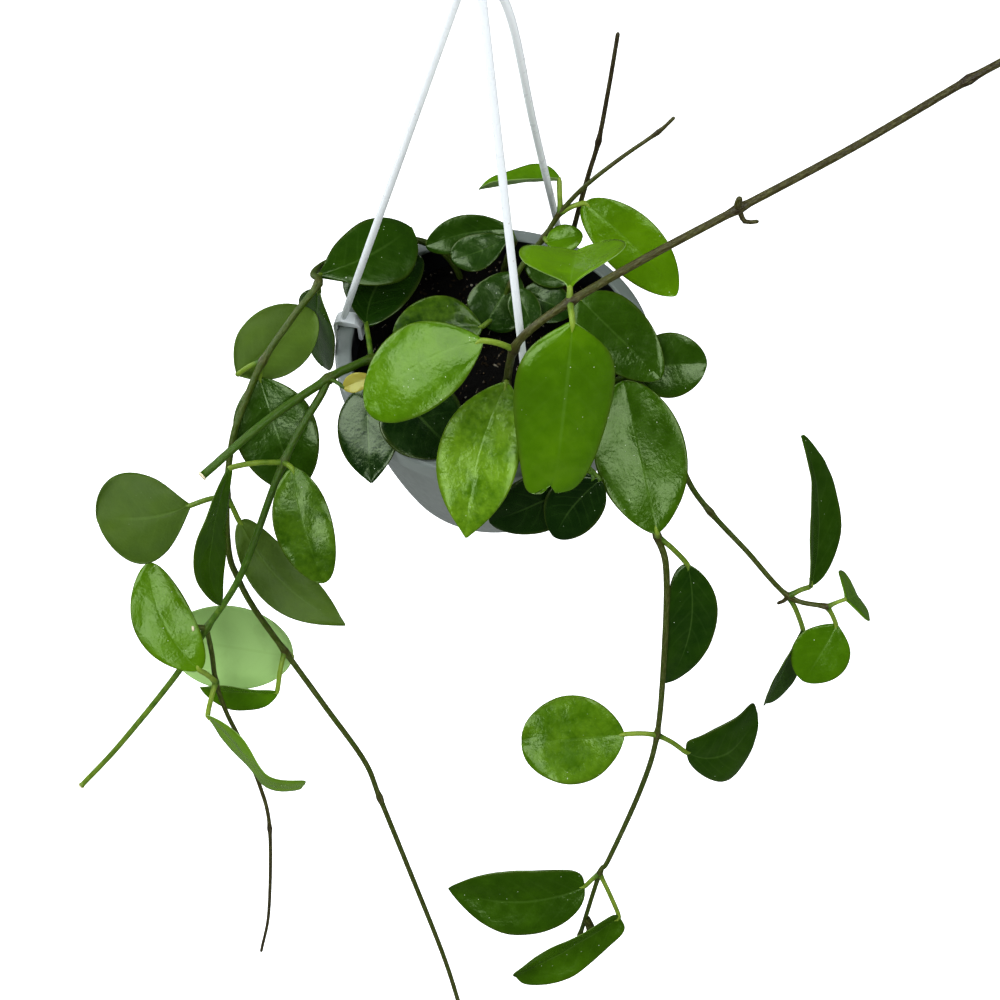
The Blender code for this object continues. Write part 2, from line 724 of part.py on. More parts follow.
def build_hook(material):
    """The hub, with a socket for each strand, and the open hook above it."""
    low, high = HUB.z - HUB_HALF, HUB.z + HUB_HALF
    profile = [
        (0, low),
        (0.7 * HUB_RADIUS, low),
        (HUB_RADIUS, low + 3),
        (HUB_RADIUS, high - 5),
        (0.6 * HUB_RADIUS, high - 1.5),
        (SHANK_COLLAR, high),
        (0, high),
    ]
    obj = add_object("hanger_hook", *turned(profile, HUB_SEGMENTS, (HUB.x, HUB.y)), material)
    centres = hook_route()
    combine(obj, "UNION", [tube(centres, [HOOK_WIRE] * len(centres), PLASTIC_SIDES)])
    sockets = []
    for name in STRAND_ANGLES:
        route = strand_route(name)
        ahead = (route[-1] - route[-2]).normalized()
        ends = [route[-1] - ahead * 3 * SOCKET_DEPTH, route[-1] + ahead * GAP]
        room = (STRAND_RADIUS + SOCKET_ROOM) / math.cos(math.pi / PLASTIC_SIDES)
        sockets.append(tube(ends, [room, room], PLASTIC_SIDES))
    combine(obj, "DIFFERENCE", sockets)


def main():
    clear_scene()
    add_rim_centre()
    materials = {name: make_material(name) for name in MATERIALS}
    build_pot(materials["charcoal_plastic"])
    build_soil(materials["peat"])
    build_hook(materials["white_plastic"])
    build_strands(materials["white_plastic"])
    build_plant(materials)


main()
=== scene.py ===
"""The looks of a potted hoya in its hanging pot.

Each sub-assembly is a class that builds its pieces over the solids of the frame: the
pot, the soil in it, the clip-on hanger and every shoot of the plant. Sizes are in
millimetres about the centre of the pot's rim, as the solids have them, except where a
comment says otherwise.
"""

import logging
import math
from collections.abc import Callable, Iterable, Sequence
from dataclasses import dataclass, field
from enum import Enum
from typing import Any

import bpy
import numpy as np
from mathutils import Matrix, Vector, noise

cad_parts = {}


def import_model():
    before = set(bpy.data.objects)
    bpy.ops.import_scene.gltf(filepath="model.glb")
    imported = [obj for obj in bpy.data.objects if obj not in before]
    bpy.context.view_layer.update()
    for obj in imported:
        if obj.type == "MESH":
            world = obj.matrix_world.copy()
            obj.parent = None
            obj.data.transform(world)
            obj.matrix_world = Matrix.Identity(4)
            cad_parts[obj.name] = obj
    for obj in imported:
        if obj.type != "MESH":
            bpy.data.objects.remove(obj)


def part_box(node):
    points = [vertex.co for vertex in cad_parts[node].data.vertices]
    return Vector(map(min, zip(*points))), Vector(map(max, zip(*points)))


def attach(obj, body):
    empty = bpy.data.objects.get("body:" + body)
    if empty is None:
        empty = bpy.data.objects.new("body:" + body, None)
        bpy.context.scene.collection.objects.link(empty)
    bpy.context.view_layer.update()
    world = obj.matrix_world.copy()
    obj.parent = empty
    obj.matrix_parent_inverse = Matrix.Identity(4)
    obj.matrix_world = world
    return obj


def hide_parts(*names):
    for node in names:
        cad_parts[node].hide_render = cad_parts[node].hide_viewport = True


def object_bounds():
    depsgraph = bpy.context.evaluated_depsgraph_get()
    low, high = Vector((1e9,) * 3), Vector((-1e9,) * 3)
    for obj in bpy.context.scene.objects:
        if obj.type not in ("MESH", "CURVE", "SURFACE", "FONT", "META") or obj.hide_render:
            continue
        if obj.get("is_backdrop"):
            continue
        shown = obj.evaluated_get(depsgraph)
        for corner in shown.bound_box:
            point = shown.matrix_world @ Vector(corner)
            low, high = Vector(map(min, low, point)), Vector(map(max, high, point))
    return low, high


LOG = logging.getLogger("hoya")
MM = 0.001
BODY = "root"
TINY = 1e-9
Colour = tuple[float, float, float]
Place = tuple[float, float, float]
Span = tuple[float, float]


# --------------------------------------------------------------------------- node trees


class Graph:
    """Adds nodes to one node tree and wires them."""

    def __init__(self, tree: bpy.types.NodeTree) -> None:
        """Keeps the tree that every call adds to."""
        self.tree = tree

    def node(self, kind: str, values: dict | None = None, **settings: Any) -> bpy.types.Node:
        """Adds a node.

        Args:
            kind: The node's Blender type.
            values: Input by index or name, to a socket to link or a value to set.
            settings: Properties of the node itself.

        Returns:
            The new node.
        """
        made = self.tree.nodes.new(kind)
        for key, value in settings.items():
            setattr(made, key, value)
        for key, value in (values or {}).items():
            self.give(made.inputs[key], value)
        return made

    def give(self, socket: bpy.types.NodeSocket, value: Any) -> None:
        """Links an input to a socket, or sets it to a plain value.

        Args:
            socket: The input.
            value: The socket that feeds it, or its value.
        """
        if isinstance(value, bpy.types.NodeSocket):
            self.tree.links.new(value, socket)
        else:
            socket.default_value = value

    def feed(self, node: bpy.types.Node, **values: Any) -> None:
        """Links or sets a node's inputs, named with _ for a space."""
        for key, value in values.items():
            self.give(node.inputs[key.replace("_", " ")], value)

    def math(self, operation: str, *values: Any, clamp: bool = False) -> bpy.types.NodeSocket:
        """Works out a sum.

        Args:
            operation: The Math node's operation.
            values: Up to three sockets or numbers.
            clamp: Whether the result is kept between 0 and 1.

        Returns:
            The result.
        """
        made = self.node("ShaderNodeMath", dict(enumerate(values)), operation=operation)
        made.use_clamp = clamp
        return made.outputs[0]

    def span(self, value: Any, low: float, high: float, to: Span = (0, 1)) -> bpy.types.NodeSocket:
        """Maps a value by a smooth step.

        Args:
            value: The value.
            low: Where the step starts.
            high: Where it ends.
            to: The results at its two ends.

        Returns:
            The mapped value.
        """
        made = self.node(
            "ShaderNodeMapRange",
            {0: value, 1: low, 2: high, 3: to[0], 4: to[1]},
            interpolation_type="SMOOTHSTEP",
        )
        return made.outputs[0]

    def mix(self, factor: Any, a: Any, b: Any) -> bpy.types.NodeSocket:
        """Mixes two colours.

        Args:
            factor: How much of the second one shows.
            a: The first colour or its socket.
            b: The second colour or its socket.

        Returns:
            The mixed colour.
        """
        a, b = (c if isinstance(c, bpy.types.NodeSocket) else (*c, 1.0) for c in (a, b))
        made = self.node("ShaderNodeMix", {0: factor, 6: a, 7: b}, data_type="RGBA")
        return made.outputs[2]

    def ramp(self, factor: Any, stops: Sequence[tuple[float, Colour]]) -> bpy.types.NodeSocket:
        """Reads a colour from a ramp.

        Args:
            factor: The place on the ramp.
            stops: The place and colour of each of its stops.

        Returns:
            The colour there.
        """
        made = self.node("ShaderNodeValToRGB", {0: factor})
        elements = made.color_ramp.elements
        while len(elements) < len(stops):
            elements.new(1.0)
        for element, (place, colour) in zip(elements, stops):
            element.position = place
            element.color = (*colour, 1.0)
        return made.outputs[0]

    def noise(self, vector: Any, scale: Any, detail: float = 3.0) -> bpy.types.NodeSocket:
        """Fractal noise from 0 to 1."""
        values = {"Vector": vector, "Scale": scale, "Detail": detail}
        return self.node("ShaderNodeTexNoise", values).outputs["Fac"]

    def bump(self, height: Any, strength: float, distance: float) -> bpy.types.NodeSocket:
        """A normal that is tilted by a height, its distance in metres."""
        values = {"Strength": strength, "Distance": distance, "Height": height}
        return self.node("ShaderNodeBump", values).outputs[0]

    def place(self) -> bpy.types.NodeSocket:
        """The piece's own coordinates, in metres."""
        return self.node("ShaderNodeTexCoord").outputs["Object"]

    def parts(self, name: str) -> list[bpy.types.NodeSocket]:
        """The three numbers of an attribute that the piece carries at its points."""
        read = self.node("ShaderNodeAttribute", attribute_name=name)
        return list(self.node("ShaderNodeSeparateXYZ", {0: read.outputs["Vector"]}).outputs)

    def value(self, name: str) -> bpy.types.NodeSocket:
        """One number that the piece carries at its points."""
        return self.node("ShaderNodeAttribute", attribute_name=name).outputs["Fac"]


@dataclass(frozen=True)
class Socket:
    """One input or output of a node group."""

    name: str
    kind: str = "Float"
    start: Any = None


class NodeGroup:
    """A node group with named inputs and outputs, made once and shared."""

    made: dict[str, bpy.types.NodeTree] = {}

    def __init__(
        self, name: str, inputs: Sequence[Socket], outputs: Sequence[Socket],
        draw: Callable[[Graph, Any], dict], kind: str = "ShaderNodeTree",
    ) -> None:
        """Builds the group, or finds it where it was built before.

        Args:
            name: The group's name.
            inputs: Its inputs, in order.
            outputs: Its outputs, in order.
            draw: Adds the nodes. It gets the graph and the inputs' sockets by name, and
                gives back the socket that feeds each output.
            kind: The sort of node tree.
        """
        if name in self.made:
            self.tree = self.made[name]
            return
        self.tree = self.made[name] = bpy.data.node_groups.new(name, kind)
        for sockets, way in ((inputs, "INPUT"), (outputs, "OUTPUT")):
            for socket in sockets:
                made = self.tree.interface.new_socket(
                    socket.name, in_out=way, socket_type=f"NodeSocket{socket.kind}"
                )
                if socket.start is not None:
                    made.default_value = socket.start
        graph = Graph(self.tree)
        entry = graph.node("NodeGroupInput")
        graph.node("NodeGroupOutput", draw(graph, entry.outputs))


class Pattern:
    """A pattern that materials share, built once as a shader node group."""

    name: str
    inputs: tuple[Socket, ...]
    outputs: tuple[Socket, ...]

    def draw(self, graph: Graph, given: Any) -> dict:
        """Adds the pattern's nodes. Each kind of pattern has its own."""
        raise NotImplementedError

    def use(self, graph: Graph, **values: Any) -> bpy.types.bpy_prop_collection:
        """Places the pattern in a material.

        Args:
            graph: The material's graph.
            values: The pattern's inputs by name, with _ for a space.

        Returns:
            The placed group's outputs.
        """
        tree = NodeGroup(self.name, self.inputs, self.outputs, self.draw).tree
        placed = graph.node("ShaderNodeGroup", node_tree=tree)
        graph.feed(placed, **values)
        return placed.outputs


class Specks(Pattern):
    """Sharp little dots, strewn unevenly: dust, mineral flecks and grit."""

    name = "specks"
    inputs = (
        Socket("Vector", "Vector"), Socket("Scale", start=700.0), Socket("Size", start=0.2),
        Socket("Share", start=0.2),
    )
    outputs = (Socket("Mask"),)
    drift_scale = 55.0
    drift = (0.42, 0.58)

    def draw(self, graph: Graph, given: Any) -> dict:
        """Draws dots round the cells' centres, kept in a share of the cells.

        Args:
            graph: The group's graph.
            given: Its inputs.

        Returns:
            The mask of the dots.
        """
        values = {"Vector": given["Vector"], "Scale": given["Scale"]}
        cells = graph.node("ShaderNodeTexVoronoi", values)
        near = graph.math("LESS_THAN", cells.outputs["Distance"], given["Size"])
        pick = graph.node("ShaderNodeSeparateColor", {0: cells.outputs["Color"]}).outputs[0]
        kept = graph.math("LESS_THAN", pick, given["Share"])
        drifted = graph.span(graph.noise(given["Vector"], self.drift_scale), *self.drift)
        return {"Mask": graph.math("MULTIPLY", graph.math("MULTIPLY", near, kept), drifted)}


class Mottle(Pattern):
    """Soft uneven patches, for tissue, peat and handled plastic."""

    name = "mottle"
    inputs = (
        Socket("Vector", "Vector"), Socket("Scale", start=60.0), Socket("Contrast", start=2.0),
    )
    outputs = (Socket("Mask"), Socket("Fine"))
    finer = 5.3
    fine_share, wide_share = 0.35, 0.65

    def draw(self, graph: Graph, given: Any) -> dict:
        """Draws two sizes of noise, stretched to the asked contrast.

        Args:
            graph: The group's graph.
            given: Its inputs.

        Returns:
            The mask of the patches, and the finer noise alone.
        """
        wide = graph.noise(given["Vector"], given["Scale"], 2.0)
        scale = graph.math("MULTIPLY", given["Scale"], self.finer)
        fine = graph.noise(given["Vector"], scale, 3.0)
        wider = graph.math("MULTIPLY", wide, self.wide_share)
        both = graph.math("MULTIPLY_ADD", fine, self.fine_share, wider)
        apart = graph.math("MULTIPLY", graph.math("SUBTRACT", both, 0.5), given["Contrast"])
        return {"Mask": graph.math("ADD", apart, 0.5, clamp=True), "Fine": fine}


class Veins(Pattern):
    """A leaf's midrib, side veins and rim, from the place across and along its blade."""

    name = "veins"
    inputs = (
        Socket("Across"), Socket("Along"), Socket("Count", start=7.0),
        Socket("Rib Width", start=0.05),
    )
    outputs = (Socket("Rib"), Socket("Veins"), Socket("Rim"))
    rib_core = 0.015
    fading = (0.5, 0.95)
    lean, lean_power = -0.28, 1.3
    vein_half = 0.16
    vein_reach = (0.55, 0.9)
    rim_from = 0.86

    def draw(self, graph: Graph, given: Any) -> dict:
        """Draws masks from how far a point lies from the midrib and the nearest side vein.

        Args:
            graph: The group's graph.
            given: Its inputs.

        Returns:
            The masks of the midrib, the side veins and the rim.
        """
        across = graph.math("ABSOLUTE", given["Across"])
        fade = graph.span(given["Along"], *self.fading, (1, 0))
        core = graph.span(across, self.rib_core, given["Rib Width"], (1, 0))
        turn = graph.math("MULTIPLY", graph.math("POWER", across, self.lean_power), self.lean)
        row = graph.math("MULTIPLY", graph.math("ADD", given["Along"], turn), given["Count"])
        off = graph.math("ABSOLUTE", graph.math("SUBTRACT", graph.math("FRACT", row), 0.5))
        veins = graph.math("MULTIPLY", graph.span(off, 0.0, self.vein_half, (1, 0)), fade)
        inside = graph.span(across, *self.vein_reach, (1, 0))
        return {
            "Rib": graph.math("MULTIPLY", core, fade),
            "Veins": graph.math("MULTIPLY", veins, inside),
            "Rim": graph.span(across, self.rim_from, 1.0),
        }


class Streaks(Pattern):
    """Lengthwise streaks round a stem, from its turn and its place along."""

    name = "streaks"
    inputs = (Socket("Vector", "Vector"), Socket("Scale", start=2.6))
    outputs = (Socket("Mask"), Socket("Fine"))
    squeeze = (1.0, 1.0, 0.16)
    edges = (0.46, 0.66)

    def draw(self, graph: Graph, given: Any) -> dict:
        """Draws noise that is stretched along the stem.

        Args:
            graph: The group's graph.
            given: Its inputs.

        Returns:
            The mask of the streaks, and the noise under it.
        """
        values = {0: given["Vector"], 1: self.squeeze}
        long_way = graph.node("ShaderNodeVectorMath", values, operation="MULTIPLY").outputs[0]
        streak = graph.noise(long_way, given["Scale"], 4.0)
        return {"Mask": graph.span(streak, *self.edges), "Fine": streak}


# ----------------------------------------------------------------------------- finishes
#
# A scale is in cells a metre, a relief in metres, and a share says how much of a colour
# shows. The span of a noise is the part of it that a roughness is read over.

NOISE_SPAN = (0.3, 0.7)


def new_material(name: str) -> tuple[bpy.types.Material, Graph, bpy.types.Node]:
    """Makes a node material.

    Args:
        name: The material's name.

    Returns:
        The material, its graph and its Principled shader.
    """
    material = bpy.data.materials.new(name)
    material.use_nodes = True
    graph = Graph(material.node_tree)
    return material, graph, material.node_tree.nodes["Principled BSDF"]


@dataclass(frozen=True)
class LeafFinish:
    """Waxy leaf tissue, from deep green to yellow-green, with a duller underside.

    The leaf carries blade (across, along, underside) and look (tone, mottle, wither).
    """

    name: str
    upper: tuple[tuple[float, Colour], ...] = (
        (0.0, (0.0035, 0.0145, 0.0025)),
        (0.25, (0.0125, 0.0400, 0.0026)),
        (0.5, (0.0330, 0.0820, 0.0025)),
        (0.75, (0.0660, 0.1550, 0.0020)),
        (1.0, (0.1300, 0.2650, 0.0020)),
    )
    under: tuple[tuple[float, Colour], ...] = (
        (0.0, (0.0200, 0.0480, 0.0080)),
        (0.45, (0.0720, 0.1250, 0.0100)),
        (1.0, (0.3600, 0.5400, 0.2000)),
    )
    rib: Colour = (0.200, 0.330, 0.080)
    rim: Colour = (0.070, 0.085, 0.012)
    speck: Colour = (0.70, 0.74, 0.62)
    patch: Colour = (0.190, 0.330, 0.020)
    wither: Colour = (0.360, 0.320, 0.060)
    sheen: Colour = (0.82, 1.0, 0.55)
    rib_share: float = 0.12
    vein_share: float = 0.03
    rim_share: float = 0.35
    patch_share: float = 0.75
    patch_scale: float = 85.0
    patch_contrast: float = 4.2
    cloud_scale: float = 38.0
    cloud_contrast: float = 1.6
    cloud_depth: float = 0.30
    cloud_span: Span = (0.35, 0.65)
    speck_scale: float = 520.0
    speck_size: float = 0.12
    specks_kept: float = 0.10
    specks_above: float = 0.85
    specks_less_below: float = -0.75
    speck_roughness: float = 0.4
    gloss: Span = (0.13, 0.26)
    dull: float = 0.50
    specular: float = 0.38
    waxy: Span = (0.40, 0.06)
    waxy_tones: Span = (0.1, 0.6)
    wax_less_below: float = -0.8
    wax_roughness: float = 0.16
    skin_scale: float = 900.0
    skin_height: float = 0.12
    patch_height: float = 0.75
    line_height: float = -1.1
    bump_strength: float = 0.45
    relief: float = 0.0005

    def build(self) -> bpy.types.Material:
        """Makes the finish's material.

        Returns:
            The material.
        """
        material, graph, shader = new_material(self.name)
        place = graph.place()
        across, along, below = graph.parts("blade")
        tone, mottled, withered = graph.parts("look")
        veins = Veins().use(graph, Across=across, Along=along)
        patches = Mottle().use(
            graph, Vector=place, Scale=self.patch_scale, Contrast=self.patch_contrast
        )
        cloud = Mottle().use(
            graph, Vector=place, Scale=self.cloud_scale, Contrast=self.cloud_contrast
        )
        clouded = graph.math("SUBTRACT", cloud["Mask"], 0.5)
        shaded = graph.math("ADD", tone, graph.math("MULTIPLY", clouded, self.cloud_depth))
        colour = graph.ramp(shaded, self.upper)
        yellowing = graph.math("MULTIPLY", patches["Mask"], mottled)
        yellowing = graph.math("MULTIPLY", yellowing, self.patch_share)
        colour = graph.mix(yellowing, colour, self.patch)
        colour = graph.mix(graph.math("MULTIPLY", veins["Rim"], self.rim_share), colour, self.rim)
        colour = graph.mix(below, colour, graph.ramp(shaded, self.under))
        rib = graph.math("MULTIPLY", veins["Rib"], self.rib_share)
        lines = graph.math("MULTIPLY_ADD", veins["Veins"], self.vein_share, rib)
        colour = graph.mix(lines, colour, self.rib)
        colour = graph.mix(withered, colour, self.wither)
        dots = Specks().use(
            graph, Vector=place, Scale=self.speck_scale, Size=self.speck_size,
            Share=self.specks_kept,
        )
        kept = graph.math("MULTIPLY_ADD", below, self.specks_less_below, self.specks_above)
        shown = graph.math("MULTIPLY", dots["Mask"], kept)
        colour = graph.mix(shown, colour, self.speck)
        spread = graph.span(cloud["Fine"], *self.cloud_span, self.gloss)
        rough = graph.node("ShaderNodeMix", {0: below, 2: spread, 3: self.dull}).outputs[0]
        rough = graph.math("MULTIPLY_ADD", shown, self.speck_roughness, rough)
        wax = graph.math("MULTIPLY_ADD", below, self.wax_less_below, 1.0)
        wax = graph.math("MULTIPLY", graph.span(tone, *self.waxy_tones, self.waxy), wax)
        skin = graph.math("MULTIPLY", graph.noise(place, self.skin_scale, 3.0), self.skin_height)
        soft = graph.math("MULTIPLY_ADD", patches["Fine"], self.patch_height, skin)
        height = graph.math("MULTIPLY_ADD", lines, self.line_height, soft)
        graph.feed(
            shader, Base_Color=colour, Roughness=rough, Coat_Weight=wax,
            Coat_Roughness=self.wax_roughness, Specular_IOR_Level=self.specular,
            Specular_Tint=(*self.sheen, 1.0),
            Normal=graph.bump(height, self.bump_strength, self.relief),
        )
        return material


@dataclass(frozen=True)
class StemFinish:
    """Stem bark and leaf stalks, by age from yellow-green through olive to purple-brown.

    The stem carries grain (turn round it and place along), age and cut.
    """

    name: str
    ages: tuple[tuple[float, Colour], ...] = (
        (0.0, (0.230, 0.320, 0.035)),
        (0.3, (0.045, 0.110, 0.003)),
        (0.55, (0.050, 0.080, 0.005)),
        (0.8, (0.055, 0.050, 0.010)),
        (1.0, (0.032, 0.022, 0.010)),
    )
    streak: Colour = (0.240, 0.240, 0.090)
    pith: Colour = (0.780, 0.680, 0.480)
    streak_share: float = 0.24
    streak_ages: Span = (0.1, 0.7)
    streak_height: float = 1.2
    spot_scale: float = 260.0
    spot_contrast: float = 2.5
    spot_depth: float = 0.18
    rough: Span = (0.30, 0.50)
    specular: float = 0.34
    bump_strength: float = 0.6
    relief: float = 0.0003

    def build(self) -> bpy.types.Material:
        """Makes the finish's material.

        Returns:
            The material.
        """
        material, graph, shader = new_material(self.name)
        grain = graph.node("ShaderNodeAttribute", attribute_name="grain").outputs["Vector"]
        age, cut = graph.value("age"), graph.value("cut")
        lines = Streaks().use(graph, Vector=grain)
        spots = Mottle().use(
            graph, Vector=graph.place(), Scale=self.spot_scale, Contrast=self.spot_contrast
        )
        spotted = graph.math("SUBTRACT", spots["Mask"], 0.5)
        aged = graph.math("ADD", age, graph.math("MULTIPLY", spotted, self.spot_depth))
        colour = graph.ramp(aged, self.ages)
        older = graph.math("MULTIPLY", graph.span(age, *self.streak_ages), self.streak_share)
        colour = graph.mix(graph.math("MULTIPLY", lines["Mask"], older), colour, self.streak)
        colour = graph.mix(cut, colour, self.pith)
        height = graph.math("MULTIPLY_ADD", lines["Fine"], self.streak_height, spots["Fine"])
        graph.feed(
            shader, Base_Color=colour, Specular_IOR_Level=self.specular,
            Roughness=graph.span(lines["Fine"], *NOISE_SPAN, self.rough),
            Normal=graph.bump(height, self.bump_strength, self.relief),
        )
        return material


@dataclass(frozen=True)
class PlasticFinish:
    """Moulded plastic with dust, faint flow marks and handling.

    The piece carries inside, which is 1 where its inner colour shows. On the pot the inner colour is
    painted shade, which darkens its inner wall and floor.
    """

    name: str
    colour: Colour
    # The colour where inside is 1. On the pot it is painted shade, not the plastic's own colour.
    inner: Colour
    dust: Colour
    rough: Span = (0.30, 0.46)
    clouding: float = 0.10
    flow_scale: float = 45.0
    flow_contrast: float = 2.2
    dots_kept: float = 0.06
    dot_scale: float = 520.0
    dot_size: float = 0.2
    dot_share: float = 0.7
    dot_height: float = 1.5
    grit_scale: float = 1800.0
    bump_strength: float = 0.15
    relief: float = 0.0001

    def build(self) -> bpy.types.Material:
        """Makes the finish's material.

        Returns:
            The material.
        """
        material, graph, shader = new_material(self.name)
        place = graph.place()
        flow = Mottle().use(
            graph, Vector=place, Scale=self.flow_scale, Contrast=self.flow_contrast
        )
        # Painted shade: where inside is 1, the inner colour takes the place of the plastic's, which
        # darkens the pot's inner wall and floor.
        colour = graph.mix(graph.value("inside"), self.colour, self.inner)
        clouded = graph.math("MULTIPLY", flow["Mask"], self.clouding)
        colour = graph.mix(clouded, colour, self.dust)
        dots = Specks().use(
            graph, Vector=place, Scale=self.dot_scale, Size=self.dot_size, Share=self.dots_kept
        )
        colour = graph.mix(graph.math("MULTIPLY", dots["Mask"], self.dot_share), colour, self.dust)
        grit = graph.noise(place, self.grit_scale, 2.0)
        height = graph.math("MULTIPLY_ADD", dots["Mask"], self.dot_height, grit)
        graph.feed(
            shader, Base_Color=colour, Roughness=graph.span(flow["Fine"], *NOISE_SPAN, self.rough),
            Normal=graph.bump(height, self.bump_strength, self.relief),
        )
        return material


@dataclass(frozen=True)
class PeatFinish:
    """Moist peat and its coarser bits, each bit tinted by the shade that it carries."""

    name: str
    shades: tuple[tuple[float, Colour], ...] = (
        (0.0, (0.0018, 0.0017, 0.0015)),
        (0.55, (0.0045, 0.0037, 0.0028)),
        (0.8, (0.0450, 0.0290, 0.0140)),
        (1.0, (0.4600, 0.4200, 0.3300)),
    )
    grit: Colour = (0.30, 0.22, 0.13)
    crumb_scale: float = 420.0
    crumb_contrast: float = 2.4
    crumb_depth: float = 0.30
    grit_scale: float = 620.0
    grit_size: float = 0.26
    grit_kept: float = 0.10
    grit_share: float = 0.55
    dust_scale: float = 1500.0
    dust_height: float = 0.6
    rough: Span = (0.62, 0.95)
    specular: float = 0.12
    bump_strength: float = 0.9
    relief: float = 0.0012

    def build(self) -> bpy.types.Material:
        """Makes the finish's material.

        Returns:
            The material.
        """
        material, graph, shader = new_material(self.name)
        place = graph.place()
        crumbs = Mottle().use(
            graph, Vector=place, Scale=self.crumb_scale, Contrast=self.crumb_contrast
        )
        mixed = graph.math("MULTIPLY_ADD", crumbs["Mask"], self.crumb_depth, graph.value("shade"))
        colour = graph.ramp(mixed, self.shades)
        grit = Specks().use(
            graph, Vector=place, Scale=self.grit_scale, Size=self.grit_size, Share=self.grit_kept
        )
        colour = graph.mix(graph.math("MULTIPLY", grit["Mask"], self.grit_share), colour, self.grit)
        dust = graph.noise(place, self.dust_scale, 4.0)
        height = graph.math("MULTIPLY_ADD", dust, self.dust_height, crumbs["Fine"])
        graph.feed(
            shader, Base_Color=colour, Specular_IOR_Level=self.specular,
            Roughness=graph.span(crumbs["Fine"], *NOISE_SPAN, self.rough),
            Normal=graph.bump(height, self.bump_strength, self.relief),
        )
        return material


# ------------------------------------------------------------------------- mesh making


@dataclass
class Shape:
    """Points, faces and edges, with the values that the points carry."""

    points: list = field(default_factory=list)
    faces: list = field(default_factory=list)
    edges: list = field(default_factory=list)
    values: dict[str, list] = field(default_factory=dict)

    def add(self, other: "Shape") -> None:
        """Takes in another shape.

        Args:
            other: A shape that carries the same values.
        """
        first = len(self.points)
        self.points += list(other.points)
        self.faces += [tuple(first + i for i in face) for face in other.faces]
        self.edges += [(first + a, first + b) for a, b in other.edges]
        for name, numbers in other.values.items():
            self.values.setdefault(name, []).extend(numbers)

    def to_object(self, name: str, origin: Vector, material: bpy.types.Material) -> bpy.types.Object:
        """Makes the object, with its place in its mesh.

        Args:
            name: The piece's name.
            origin: The rim's centre, in metres.
            material: The piece's finish.

        Returns:
            The new object, shaded smooth.
        """
        mesh = bpy.data.meshes.new(name)
        mesh.from_pydata([Vector(p) * MM + origin for p in self.points], self.edges, self.faces)
        for key, numbers in self.values.items():
            flat = np.array(numbers, np.float32)
            kind, slot = ("FLOAT_VECTOR", "vector") if flat.ndim > 1 else ("FLOAT", "value")
            made = mesh.attributes.new(key, kind, "POINT")
            made.data.foreach_set(slot, flat.ravel())
        mesh.materials.append(material)
        mesh.shade_smooth()
        obj = bpy.data.objects.new(name, mesh)
        bpy.context.scene.collection.objects.link(obj)
        return obj


def rod_line(points: Sequence[Vector], girth: Iterable[float], **values: list) -> Shape:
    """Makes a line of edges for a rod.

    Args:
        points: The line's points.
        girth: The rod's radius at each of them.
        values: Other values that the points carry.

    Returns:
        The line.
    """
    edges = [(k, k + 1) for k in range(len(points) - 1)]
    return Shape(list(points), [], edges, {"girth": [g * MM for g in girth], **values})


def baked(obj: bpy.types.Object) -> bpy.types.Object:
    """Turns what an object's modifiers make into its own plain mesh, and removes them.

    Args:
        obj: The object.

    Returns:
        The same object.
    """
    graph = bpy.context.evaluated_depsgraph_get()
    mesh = bpy.data.meshes.new_from_object(obj.evaluated_get(graph), depsgraph=graph)
    obj.modifiers.clear()
    old, obj.data = obj.data, mesh
    bpy.data.meshes.remove(old)
    mesh.name = obj.name
    return obj


def soften(obj: bpy.types.Object, width: float, sharp: float = 28.0, segments: int = 3) -> None:
    """Rounds an object's sharp edges.

    Args:
        obj: The object.
        width: How wide the rounding is.
        sharp: The least angle of a sharp edge, in degrees.
        segments: The steps of the rounding.
    """
    bevel = obj.modifiers.new("soften", "BEVEL")
    bevel.width = width * MM
    bevel.segments = segments
    bevel.limit_method = "ANGLE"
    bevel.angle_limit = math.radians(sharp)
    bevel.harden_normals = True
    baked(obj)


def toward(turn: float, rise: float) -> Vector:
    """Finds a direction.

    Args:
        turn: Its turn from +X, in degrees.
        rise: Its rise above the horizontal, in degrees.

    Returns:
        A line of length 1 that way.
    """
    turned_by, raised = math.radians(turn), math.radians(rise)
    flat = math.cos(raised)
    return Vector((flat * math.cos(turned_by), flat * math.sin(turned_by), math.sin(raised)))


def smooth_route(route: Sequence[Place], step: float) -> tuple[list[Vector], list[int]]:
    """Draws a Catmull-Rom curve through a route.

    Args:
        route: The places that the curve passes through.
        step: About how far apart its points are.

    Returns:
        The points, and the index among them of each place of the route.
    """
    knots = [Vector(p) for p in route]
    knots = [2 * knots[0] - knots[1], *knots, 2 * knots[-1] - knots[-2]]
    found: list[Vector] = []
    places: list[int] = []
    for a, b, c, d in zip(knots, knots[1:], knots[2:], knots[3:]):
        places.append(len(found))
        count = max(1, round((c - b).length / step))
        bend, twist = 2 * a - 5 * b + 4 * c - d, 3 * b - a - 3 * c + d
        for i in range(count):
            t = i / count
            found.append(0.5 * (2 * b + (c - a) * t + bend * t**2 + twist * t**3))
    places.append(len(found))
    found.append(knots[-2])
    return found, places


def distances(points: Sequence[Vector]) -> list[float]:
    """Measures how far along a line each of its points lies.

    Args:
        points: The line's points.

    Returns:
        The distance of each from the first.
    """
    found = [0.0]
    for a, b in zip(points, points[1:]):
        found.append(found[-1] + (b - a).length)
    return found


def rounded(profile: Sequence[tuple[float, float]], radius: float, steps: int = 4) -> list:
    """Rounds off the corners of a line of (radius, height) points.

    Args:
        profile: The line's points.
        radius: How far from a corner its rounding starts, at most.
        steps: Points in each rounding.

    Returns:
        The rounded line's points.
    """
    most = 0.45
    line = [Vector(p) for p in profile]
    found = [line[0]]
    for a, b, c in zip(line, line[1:], line[2:]):
        reach = min(radius, most * (b - a).length, most * (c - b).length)
        start, end = b + (a - b).normalized() * reach, b + (c - b).normalized() * reach
        for i in range(steps + 1):
            t = i / steps
            found.append(start.lerp(b, t).lerp(b.lerp(end, t), t))
    return [tuple(p) for p in (*found, line[-1])]


